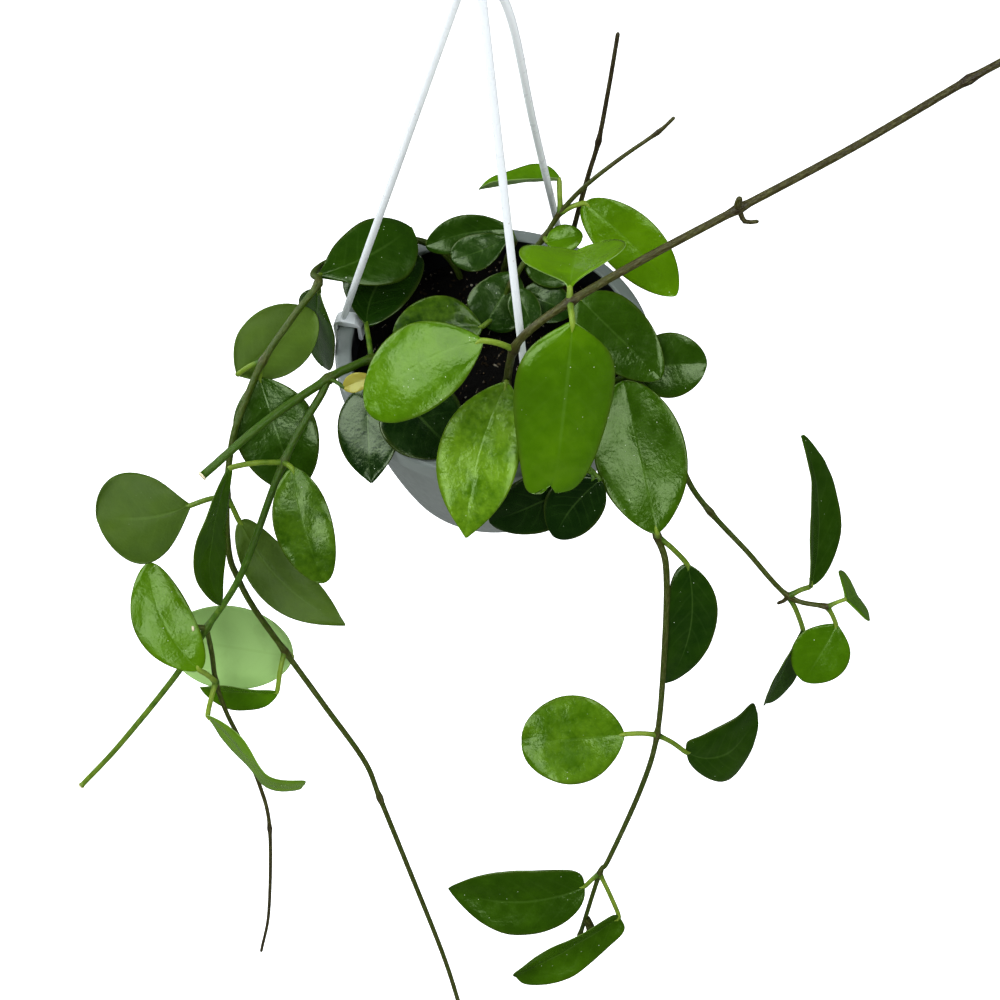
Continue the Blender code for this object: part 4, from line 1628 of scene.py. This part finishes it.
RIGHT_TRAILER = Stem(
    route=(
        (54, -21, -34), (54, -21, -12), (57, -23, 3), (65, -29, 10), (79, -44, 2), (89, -61, -20),
        (101, -71, -34), (119, -82, -50), (141, -96, -69), (159, -101, -70),
    ),
    radii=(1.5, 1.2), age=(0.40, 0.68),
    joints=(3, 6, 8, 9),
    leaves=(
        Leaf(3, (-2, 7, 1), 34, 30, 0, 6, roll=10, widest=0.5, tone=0.42),
        Leaf(
            8, (10, 3, 5), 72, 29, 105, 39, roll=46, fold=20, curl=-0.12, widest=0.33, bow=-0.2,
            tone=0.42, apex=0.7, base=0.0,
        ),
        Leaf(
            8, (10, -7, -21), 43, 24, -114, -45, roll=-53, fold=17, widest=0.56, bow=-0.05,
            tone=0.35, apex=-0.4,
        ),
        Leaf(9, (8, 2, 4), 20, 28, 42, -40, roll=-24, fold=10, widest=0.45, tone=0.8, base=0.9),
        Leaf(9, (6, -4, -11), 32, 28, -122, -37, widest=0.5, tone=0.72),
    ),
    branches=(Stem(
        route=((141, -96, -69), (139, -97, -72), (137, -97, -74)), radii=(1.2, 0.8),
        age=(0.95, 0.95),
    ),),
)

REAR_SHOOT = Stem(
    route=((3, 50, -34), (3, 50, -12), (6, 53, 2), (9, 57, 9)),
    radii=(1.6, 1.4), age=(0.5, 0.6),
    joints=(3,),
    leaves=(
        Leaf(
            3, (-2, -1, 9), 41, 18, -164, -1, roll=-21, widest=0.56, bow=-0.06, tone=0.35,
            base=0.1,
        ),
        Leaf(3, (-2, -6, 10), 30, 18, -160, -9, widest=0.65, bow=0.06, tone=0.3),
    ),
    branches=(
        Stem(
            route=(
                (9, 57, 9), (2, 68, 7), (-7, 80, 1), (-14, 88, -12), (-20, 94, -36), (-23, 99, -68),
                (-19, 102, -98),
            ),
            radii=(1.4, 1.0), age=(0.6, 0.7),
            joints=(4, 5, 6),
            leaves=(
                Leaf(4, (-9, 5, -4), 43, 32, 172, -42, tone=0.45),
                Leaf(4, (10, 5, -4), 46, 33, 15, -48, tone=0.5),
                Leaf(6, (8, 5, -6), 44, 31, 30, -55, tone=0.4),
                Leaf(6, (-7, 4, -9), 38, 27, 150, -62, tone=0.55),
            ),
            faces=Faces.BACK,
        ),
    ),
)

# Every stem that comes out of the soil, by the name of its node.
PLANT: dict[str, Stem] = {
    "bare_shoot": BARE_SHOOT,
    "back_shoot": BACK_SHOOT,
    "long_shoot": LONG_SHOOT,
    "inner_shoot": INNER_SHOOT,
    "left_shoot": LEFT_SHOOT,
    "left_trailer": LEFT_TRAILER,
    "front_left_shoot": FRONT_LEFT_SHOOT,
    "front_shoot": FRONT_SHOOT,
    "front_right_trailer": FRONT_RIGHT_TRAILER,
    "right_trailer": RIGHT_TRAILER,
    "rear_shoot": REAR_SHOOT,
}
SLOTS: dict[str, str] = {
    "bare_shoot": "bare_stem", "back_shoot": "young_leaf", "long_shoot": "young_leaf",
}


# ------------------------------------------------------------------ the pot and hanger


class Frame:
    """The fixed model: it places finished pieces on it and reports each."""

    def __init__(self) -> None:
        """Loads the model and finds the rim's centre on its pot."""
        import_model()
        low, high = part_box("pot")
        self.rim = Vector(((low.x + high.x) / 2, (low.y + high.y) / 2, high.z))
        self.height = (high.z - low.z) / MM
        self.radius = (high.x - low.x) / 2 / MM
        self.cad_box = [list(corner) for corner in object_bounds()]

    def seat(self, piece: bpy.types.Object, slot: str, node: str) -> None:
        """Lets a piece stand for a node.

        Args:
            piece: The finished piece.
            slot: Not used.
            node: The node that it stands for.
        """
        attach(piece, BODY)
        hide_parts(node)
        LOG.info("%s: %d faces for %s", piece.name, len(piece.data.polygons), node)

    def write_sizes(self) -> None:
        """Does nothing: the boxes of the frame and of the dressed object are not written."""


@dataclass
class Pot:
    """The bowl with its recessed foot and its broad lip, which turns down outside it."""

    lip_inner: float = 67.0
    lip_drop: float = 10.0
    lip_thickness: float = 1.8
    lip_root: float = 3.5
    lip_gap: float = 0.5
    base: float = 51.0
    wall: float = 2.2
    foot_recess: float = 2.5
    foot_ring: float = 5.0
    foot_slope: float = 2.0
    bowl_power: float = 1.75
    segments: int = 144
    steps: int = 18
    rounding: float = 0.7
    # Where the inner colour holds, as painted shade: below the lip's edge, over the middle of the
    # floor, by its share of the wall, and inside the middle of the wall.
    painted_shade_starts: float = 0.2
    inner_floor: float = 0.6
    painted_shade_skin: float = 1.0
    # The lip's top: places in from the rim and down from the top, then its inner edge.
    crown: tuple[Span, ...] = ((0.0, 1.6), (1.2, 0.3), (4.0, 0.0))
    inner_edge: tuple[Span, ...] = ((1.0, 0.0), (0.0, 0.9))
    # Marks of the mould under the foot: the radii where each starts and ends, and its depth.
    marks: tuple[tuple[Span, Span, float], ...] = (
        ((4.0, 4.6), (6.0, 6.6), 0.5), ((30.0, 30.5), (32.5, 33.0), 0.4),
    )

    def radius_at(self, depth: float, height: float) -> float:
        """The bowl's outer radius at a depth below the rim."""
        top = self.lip_inner + self.wall
        return top - (top - self.base) * min(max(depth / height, 0.0), 1.0) ** self.bowl_power

    def curve(self, inset: float, top: float, bottom: float, height: float) -> list:
        """Points of the bowl's wall from one depth to another, moved in by an inset."""
        depths = [top + (bottom - top) * i / self.steps for i in range(self.steps + 1)]
        return [(self.radius_at(d, height) - inset, -d) for d in depths]

    def outline(self, rim: float, height: float) -> list:
        """Draws the pot's wall from the middle of its foot, over the lip, to its floor.

        Args:
            rim: The rim's radius.
            height: The pot's height.

        Returns:
            The (radius, height) points, with their corners rounded off.
        """
        floor, ring = -height + self.foot_recess, self.base - self.foot_ring
        foot = [(0, floor)]
        for (start, full), (still, end), depth in self.marks:
            foot += [(start, floor), (full, floor - depth), (still, floor - depth), (end, floor)]
        foot += [(ring - self.foot_slope, floor), (ring, -height)]
        inside = rim - self.lip_thickness
        lip = [(inside, -self.lip_root - self.lip_gap), (inside, -self.lip_drop)]
        lip += [(rim, -self.lip_drop)]
        lip += [(rim - across, -down) for across, down in self.crown]
        lip += [(self.lip_inner + across, -down) for across, down in self.inner_edge]
        outer = self.curve(0.0, height, self.lip_root, height)
        inner = self.curve(self.wall, self.lip_root, height - self.foot_recess - self.wall, height)
        return rounded(foot + outer + lip + inner + [(0, floor + self.wall)], self.rounding)

    def is_inside(self, place: Vector, height: float) -> bool:
        """Tells whether a point of the shell lies on its inner wall or floor, which take the painted
        shade.

        Args:
            place: The point.
            height: The pot's height.

        Returns:
            Whether it does.
        """
        highest = -self.inner_edge[-1][1] - self.painted_shade_starts
        lowest = -height + self.foot_recess + self.inner_floor * self.wall
        out = math.hypot(place.x, place.y)
        within = out < self.radius_at(-place.z, height) - self.painted_shade_skin
        return lowest < place.z < highest and within

    def build(self, frame: Frame, finish: PlasticFinish) -> None:
        """Makes the pot's shell and seats it.

        Args:
            frame: The fixed model.
            finish: The pot's plastic.
        """
        shape = turned(self.outline(frame.radius, frame.height), self.segments)
        # Painted shade: marks the points of the inner wall and floor, which the finish draws near
        # black.
        inside = [float(self.is_inside(point, frame.height)) for point in shape.points]
        shape.values["inside"] = inside
        frame.seat(shape.to_object("pot_shell", frame.rim, finish.build()), "pot_plastic", "pot")


@dataclass(frozen=True)
class Bits:
    """One sort of bits that lie on the soil, with the span of their sizes and shades."""

    name: str
    density: float
    smallest: Place
    largest: Place
    shades: Span
    seed: int


@dataclass
class SoilBed:
    """The peat that fills the pot, with bark, fibre and mineral grains on top."""

    pot: Pot
    level: float = -14.0
    mound: float = 3.0
    gap: float = 0.3
    floor_edge: float = 0.5
    lump_height: float = 1.9
    lump_scale: float = 0.12
    lump_seed: float = 3.0
    # How slowly finer lumps fade, how much finer each size is, and how many there are.
    lump_fractal: tuple[float, float, int] = (0.7, 2.1, 5)
    level_edge: float = 4.0
    shade: float = 0.30
    rings: int = 62
    segments: int = 150
    sorts: tuple[Bits, ...] = (
        Bits("bark_crumbs", 42000.0, (0.5, 0.3, 0.25), (1.9, 1.1, 0.8), (0.30, 0.72), 4),
        Bits("fibre_bits", 14000.0, (1.2, 0.14, 0.14), (4.2, 0.26, 0.26), (0.52, 0.82), 5),
        Bits("pale_grains", 2600.0, (0.35, 0.35, 0.3), (0.9, 0.8, 0.7), (0.80, 1.00), 6),
    )

    def top(self, x: float, y: float, edge: float) -> float:
        """Finds the height of the soil's surface, lumpy but for its edge.

        Args:
            x: The place to the right.
            y: The place to the back.
            edge: The surface's radius.

        Returns:
            The height there.
        """
        out = math.hypot(x, y)
        base = self.level + self.mound * (1 - (out / self.pot.lip_inner) ** 2)
        place = Vector((x * self.lump_scale, y * self.lump_scale, self.lump_seed))
        lumps = self.lump_height * noise.fractal(place, *self.lump_fractal)
        return base + lumps * min(1.0, (edge - out) / self.level_edge)

    def bed(self, height: float) -> Shape:
        """Makes the soil's solid: its lumpy top and the bowl's curve below.

        Args:
            height: The pot's height.

        Returns:
            The solid, which carries shade, and surface where it is its top.
        """
        deepest = height - self.pot.foot_recess - self.pot.wall - self.gap
        inset, lowest = self.pot.wall + self.gap, deepest - self.floor_edge
        profile = [(0, -deepest), *self.pot.curve(inset, lowest, -self.level, height)]
        edge = profile[-1][0]
        profile += [(edge * (1 - i / self.rings), 0.0) for i in range(1, self.rings)]
        shape = turned(profile + [(0, 0.0)], self.segments)
        first = len(shape.points) - self.segments * (self.rings - 1) - 1
        for point in shape.points[first:]:
            point.z = self.top(point.x, point.y, edge)
        shape.values["shade"] = [self.shade] * len(shape.points)
        shape.values["surface"] = [0.0] * first + [1.0] * (len(shape.points) - first)
        return shape

    def build(self, frame: Frame, finish: PeatFinish) -> None:
        """Makes the bed and what lies on it, and seats them.

        Args:
            frame: The fixed model.
            finish: The peat.
        """
        material, bed, maker = finish.build(), self.bed(frame.height), CrumbMaker()
        surface = bed.values["surface"]
        top = Shape(bed.points, [face for face in bed.faces if all(surface[i] for i in face)])
        frame.seat(bed.to_object("soil_bed", frame.rim, material), "soil", "soil")
        for sort in self.sorts:
            bits = maker.run(
                top.to_object(sort.name, frame.rim, material), Density=sort.density,
                Smallest=[size * MM for size in sort.smallest],
                Largest=[size * MM for size in sort.largest],
                Darkest=sort.shades[0], Palest=sort.shades[1], Seed=sort.seed, Material=material,
            )
            frame.seat(bits, "soil", "soil")


@dataclass(frozen=True)
class Strand:
    """One strand: its turn from +X, and how far it bows to +X halfway up and near the hub."""

    name: str
    turn: float
    half: float = 0.0
    high: float = 0.0

    @property
    def spin(self) -> Matrix:
        """The turn from +X to where the strand stands."""
        return Matrix.Rotation(math.radians(self.turn), 3, "Z")


@dataclass(frozen=True)
class Rod:
    """A round rod: its radius, its flare at the foot, and how far its rounded tip reaches."""

    radius: float
    flare: float = 0.0
    flare_reach: float = 5.0
    tip: float = 0.0

    step = 2.0
    least = 0.01

    def girth(self, up: float, left: float) -> float:
        """Finds the rod's radius at a place.

        Args:
            up: The distance from its foot.
            left: The distance to its tip.

        Returns:
            The radius there.
        """
        wide = self.radius + self.flare * math.exp(-((up / self.flare_reach) ** 2))
        if not self.tip:
            return wide
        return wide * (1 - max(0.0, 1 - left / self.tip) ** 2) ** 0.5 + self.least

    def line(self, route: Sequence[Vector]) -> Shape:
        """Makes the rod's line.

        Args:
            route: The places that it passes through.

        Returns:
            The line, with its girth.
        """
        points, _ = smooth_route(route, self.step)
        along = distances(points)
        girths = [self.girth(here, along[-1] - here) for here in along]
        return rod_line(points, girths, inside=[0.0] * len(points))


@dataclass
class Hanger:
    """Three strands, each moulded with its lip clip, and the hub and hook above them."""

    pot: Pot
    hub: Place = (-5.0, -4.0, 208.0)
    hub_radius: float = 8.0
    hub_half: float = 7.0
    hub_segments: int = 64
    # The hub's outline: each point's share of the radius and its height over the bottom
    # or under the top.
    hub_foot: tuple[Span, ...] = ((0.7, 0.0), (1.0, 3.0))
    hub_head: tuple[Span, ...] = ((1.0, 5.0), (0.6, 1.5), (0.4, 0.0))
    hub_rounding: float = 1.1
    strand_rod: Rod = Rod(1.65, flare=1.8)
    strand_out: float = 3.0
    strand_under: float = 1.0
    strand_sunk: float = 0.8
    knee: float = 6.0
    bow_places: Span = (0.5, 0.85)
    clip_width: float = 7.0
    clip_thickness: float = 2.2
    clip_leg: float = 13.0
    clip_short: float = 0.6
    clip_crown: float = 1.7
    clip_room: float = 1.4
    clip_softness: float = 0.55
    gap: float = 0.3
    wire: Rod = Rod(2.35, tip=2.4)
    bight: float = 9.0
    shank: float = 14.0
    bend_start: float = 8.0
    # The hook's throat, in radii from the middle of its bight, and the turns in degrees
    # where the bight's arc starts and ends.
    throat: Place = (-0.38, 0.0, -1.06)
    arc: Span = (214.0, -42.0)
    arc_points: int = 13
    strand_sides: int = 20
    wire_sides: int = 24
    strand_grain: float = 0.00004
    wire_grain: float = 0.00003
    strands: tuple[Strand, ...] = (
        Strand("left", 169.7), Strand("front", 285.0), Strand("back", 64.0, 2.5, 5.0),
    )

    def strand_route(self, strand: Strand, rim: float) -> list[Vector]:
        """Draws a strand's centre line, from its foot on the clip up into the hub.

        Args:
            strand: The strand.
            rim: The pot's rim radius.

        Returns:
            The places that it passes through.
        """
        out = strand.spin @ Vector((1, 0, 0))
        foot = out * (rim + self.pot.lip_inner) / 2 + Vector((0, 0, self.clip_thickness))
        top = Vector(self.hub) + out * self.strand_out - Vector((0, 0, self.strand_under))
        knee = foot + Vector((0, 0, self.knee))
        half = knee.lerp(top, self.bow_places[0]) + Vector((strand.half, 0, 0))
        high = knee.lerp(top, self.bow_places[1]) + Vector((strand.high, 0, 0))
        return [foot - Vector((0, 0, self.strand_sunk)), knee, half, high, top]

    def clip(self, strand: Strand, rim: float) -> Shape:
        """Makes a saddle over the lip, with a barbed leg outside it and a curled one inside.

        Args:
            strand: The strand that the clip carries.
            rim: The pot's rim radius.

        Returns:
            The closed clip.
        """
        inner, outer = self.pot.lip_inner - self.clip_room, rim + self.gap
        thick, leg = self.clip_thickness, -self.clip_leg
        short, crown = self.clip_short * leg, self.clip_crown * thick
        # Shares of the thickness and single millimetres slant the legs' ends and the back.
        outline = [
            (outer + thick, -0.6), (outer + 0.9 * thick, leg), (outer + 0.35 * thick, leg - 1),
            (outer, leg), (outer, self.gap), (inner, self.gap), (inner, short),
            (inner - 0.6 * thick, short - 1), (inner - thick, short), (inner - thick, 0.2),
            (inner - 0.5 * thick, 0.8 * thick), (inner + 0.6 * thick, crown),
            (outer - 0.6 * thick, crown), (outer + 0.5 * thick, 0.8 * thick),
        ]
        sides = (-self.clip_width / 2, self.clip_width / 2)
        points = [strand.spin @ Vector((r, side, h)) for side in sides for r, h in outline]
        count = len(outline)
        faces = [tuple(range(count)), tuple(range(2 * count - 1, count - 1, -1))]
        faces += [(i, i + count, (i + 1) % count + count, (i + 1) % count) for i in range(count)]
        return Shape(points, faces, values={"inside": [0.0] * len(points)})

    def hook_route(self) -> list[Vector]:
        """Draws the hook's centre line: up the shank, round the bight and down to the tip.

        Returns:
            The places that it passes through.
        """
        hub, rise = Vector(self.hub), self.hub_half + self.shank
        centre = hub + Vector((0, 0, rise + 2 * self.wire.radius))
        radius = self.bight + self.wire.radius
        route = [hub, hub + Vector((0, 0, rise - self.bend_start))]
        route.append(centre + radius * Vector(self.throat))
        start, end = self.arc
        for i in range(self.arc_points):
            turn = math.radians(start + (end - start) * i / (self.arc_points - 1))
            route.append(centre + radius * Vector((math.cos(turn), 0, math.sin(turn))))
        return route

    def hub_shape(self) -> Shape:
        """Makes the hub, a turned knob.

        Returns:
            The closed hub.
        """
        low, high = self.hub[2] - self.hub_half, self.hub[2] + self.hub_half
        line = [(0, low)]
        line += [(share * self.hub_radius, low + up) for share, up in self.hub_foot]
        line += [(share * self.hub_radius, high - down) for share, down in self.hub_head]
        line += [(0, high)]
        shape = turned(rounded(line, self.hub_rounding, steps=6), self.hub_segments, self.hub)
        shape.values["inside"] = [0.0] * len(shape.points)
        return shape

    def build(self, frame: Frame, finish: PlasticFinish) -> None:
        """Makes the strands, clips, hub and hook, and seats them.

        Args:
            frame: The fixed model.
            finish: The hanger's plastic.
        """
        slot, hook_node = "hanger_plastic", "hanger_hook"
        white, rods = finish.build(), RodMaker()
        for strand in self.strands:
            node = f"strand_{strand.name}"
            line = self.strand_rod.line(self.strand_route(strand, frame.radius))
            arm = line.to_object(f"{node}_arm", frame.rim, white)
            rods.run(arm, Sides=self.strand_sides, Bark=self.strand_grain, Material=white)
            frame.seat(arm, slot, node)
            clip = self.clip(strand, frame.radius).to_object(f"{node}_clip", frame.rim, white)
            soften(clip, self.clip_softness)
            frame.seat(clip, slot, node)
        frame.seat(self.hub_shape().to_object("hanger_hub", frame.rim, white), slot, hook_node)
        hook = self.wire.line(self.hook_route()).to_object("hanger_hook_wire", frame.rim, white)
        rods.run(hook, Sides=self.wire_sides, Bark=self.wire_grain, Material=white)
        frame.seat(hook, slot, hook_node)


@dataclass
class Shoot:
    """Everything that grows from one place in the soil: its stems, stalks and blades."""

    name: str
    stem: Stem
    slot: str = "mature_leaf"
    sides: int = 12
    bark_height: float = 0.00018

    def build(
        self, frame: Frame, leaf: bpy.types.Material, bark: bpy.types.Material, rods: RodMaker
    ) -> None:
        """Makes the shoot's stems and leaves, and seats them.

        Args:
            frame: The fixed model.
            leaf: The leaves' material.
            bark: The stems' and stalks' material.
            rods: What makes a rod of each stem's line.
        """
        stems = self.stem.lines().to_object(f"{self.name}_stems", frame.rim, bark)
        rods.run(stems, Sides=self.sides, Bark=self.bark_height, Material=bark)
        frame.seat(stems, self.slot, self.name)
        blades = self.stem.blades()
        if blades.points:
            leaves = blades.to_object(f"{self.name}_leaves", frame.rim, leaf)
            frame.seat(leaves, self.slot, self.name)


# ------------------------------------------------------------------------- the studio


@dataclass(frozen=True)
class Lamp:
    """A square soft light: the side and height it stands at, its spread and its glow.

    turn is from +X, rise above the horizontal and spread half of the angle that the
    lamp fills, all in degrees.
    """

    name: str
    turn: float
    rise: float
    spread: float
    glow: float

    def build(self, aim: Vector, distance: float, colour: Colour) -> None:
        """Sets up the lamp.

        Args:
            aim: The place that it is turned to.
            distance: How far from there it stands.
            colour: The colour of its light.
        """
        way = toward(self.turn, self.rise)
        data = bpy.data.lights.new(self.name, "AREA")
        data.size = 2 * distance * math.tan(math.radians(self.spread))
        data.energy = self.glow * math.pi * data.size**2
        data.color = colour
        lamp = bpy.data.objects.new(self.name, data)
        lamp.location = aim + way * distance
        lamp.rotation_euler = way.to_track_quat("Z", "Y").to_euler()
        bpy.context.scene.collection.objects.link(lamp)


@dataclass
class Studio:
    """The floor, the soft lights, the surroundings and the camera, placed in metres."""

    camera_at: Place = (0.0120, -0.3987, 0.2546)
    camera_turn: Place = (32.4, 0.0, 0.6)
    lens: float = 48.6
    sensor: float = 36.0
    aim: Place = (0.0, -0.06, -0.30)
    light_distance: float = 1.6
    light_colour: Colour = (0.92, 0.97, 1.0)
    sky: Colour = (0.88, 0.92, 1.0)
    sky_seen: float = 0.90
    sky_light: float = 0.05
    # The floor is pale to the eye and dark in reflections, so that leaves stay deep.
    floor_drop: float = 0.5
    floor_size: float = 14.0
    floor_colour: Colour = (0.92, 0.92, 0.92)
    floor_mirrored: Colour = (0.10, 0.10, 0.10)
    floor_glow: Colour = (1.0, 1.0, 1.0)
    floor_glow_mirrored: Colour = (0.06, 0.06, 0.06)
    floor_glow_strength: float = 0.85
    floor_rough: float = 0.9
    lamps: tuple[Lamp, ...] = (
        Lamp("side_left", turn=-172.0, rise=55.0, spread=18.0, glow=5.0),
        Lamp("side_right", turn=0.0, rise=52.0, spread=15.0, glow=3.4),
        Lamp("window_left", turn=-106.0, rise=41.0, spread=10.0, glow=5.6),
        Lamp("window_right", turn=-47.0, rise=56.0, spread=10.0, glow=5.6),
        Lamp("low_left", turn=148.0, rise=10.0, spread=13.0, glow=4.0),
        Lamp("back_left", turn=116.0, rise=46.0, spread=9.0, glow=4.0),
    )

    def floor(self, under: float) -> None:
        """Lays a plain pale floor.

        Args:
            under: The height of the lowest leaf, which it lies below.
        """
        material, graph, shader = new_material("studio_floor")
        glossy = graph.node("ShaderNodeLightPath").outputs["Is Glossy Ray"]
        graph.feed(
            shader, Base_Color=graph.mix(glossy, self.floor_colour, self.floor_mirrored),
            Emission_Color=graph.mix(glossy, self.floor_glow, self.floor_glow_mirrored),
            Emission_Strength=self.floor_glow_strength, Roughness=self.floor_rough,
        )
        place = (0, 0, under - self.floor_drop)
        bpy.ops.mesh.primitive_plane_add(size=self.floor_size, location=place)
        floor = bpy.context.object
        floor.name = "studio_floor"
        floor.data.materials.append(material)
        floor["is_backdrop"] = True

    def surroundings(self) -> None:
        """Sets up a pale surrounding that is bright to the camera and gives little light."""
        world = bpy.data.worlds.new("studio")
        world.use_nodes = True
        graph, backdrop = Graph(world.node_tree), world.node_tree.nodes["Background"]
        seen = graph.node("ShaderNodeLightPath").outputs["Is Camera Ray"]
        strength = graph.math("MULTIPLY_ADD", seen, self.sky_seen, self.sky_light)
        graph.feed(backdrop, Color=(*self.sky, 1.0), Strength=strength)
        bpy.context.scene.world = world

    def camera(self) -> None:
        """Sets up the camera."""
        data = bpy.data.cameras.new("camera")
        data.lens, data.sensor_width = self.lens, self.sensor
        camera = bpy.data.objects.new("camera", data)
        camera.location = self.camera_at
        camera.rotation_euler = [math.radians(angle) for angle in self.camera_turn]
        bpy.context.scene.collection.objects.link(camera)
        bpy.context.scene.camera = camera

    def build(self) -> None:
        """Sets up the whole studio."""
        self.floor(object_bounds()[0].z)
        self.surroundings()
        for lamp in self.lamps:
            lamp.build(Vector(self.aim), self.light_distance, self.light_colour)
        self.camera()
        view = bpy.context.scene.view_settings
        view.view_transform = "Standard"
        view.look = "Medium High Contrast"


CHARCOAL = PlasticFinish(
    "pot_charcoal_plastic",
    colour=(0.200, 0.222, 0.208),
    # Painted shade: the pot's inner wall and floor are drawn near black.
    inner=(0.006, 0.007, 0.009),
    dust=(0.34, 0.34, 0.33),
    clouding=0.03,
)
WHITE = PlasticFinish(
    "hanger_white_plastic",
    colour=(0.80, 0.82, 0.83),
    inner=(0.80, 0.82, 0.83),
    dust=(0.48, 0.46, 0.42),
    rough=(0.25, 0.40),
    dots_kept=0.04,
    clouding=0.03,
)


def main() -> None:
    """Builds every sub-assembly in order."""
    logging.basicConfig(level=logging.INFO, format="%(name)s: %(message)s")
    frame, pot = Frame(), Pot()
    pot.build(frame, CHARCOAL)
    SoilBed(pot).build(frame, PeatFinish("moist_peat"))
    Hanger(pot).build(frame, WHITE)
    leaf, bark = LeafFinish("waxy_leaf").build(), StemFinish("stem_bark").build()
    rods = RodMaker()
    for name, stem in PLANT.items():
        Shoot(name, stem, SLOTS.get(name, "mature_leaf")).build(frame, leaf, bark, rods)
    Studio().build()
    frame.write_sizes()


if __name__ == "__main__":
    main()
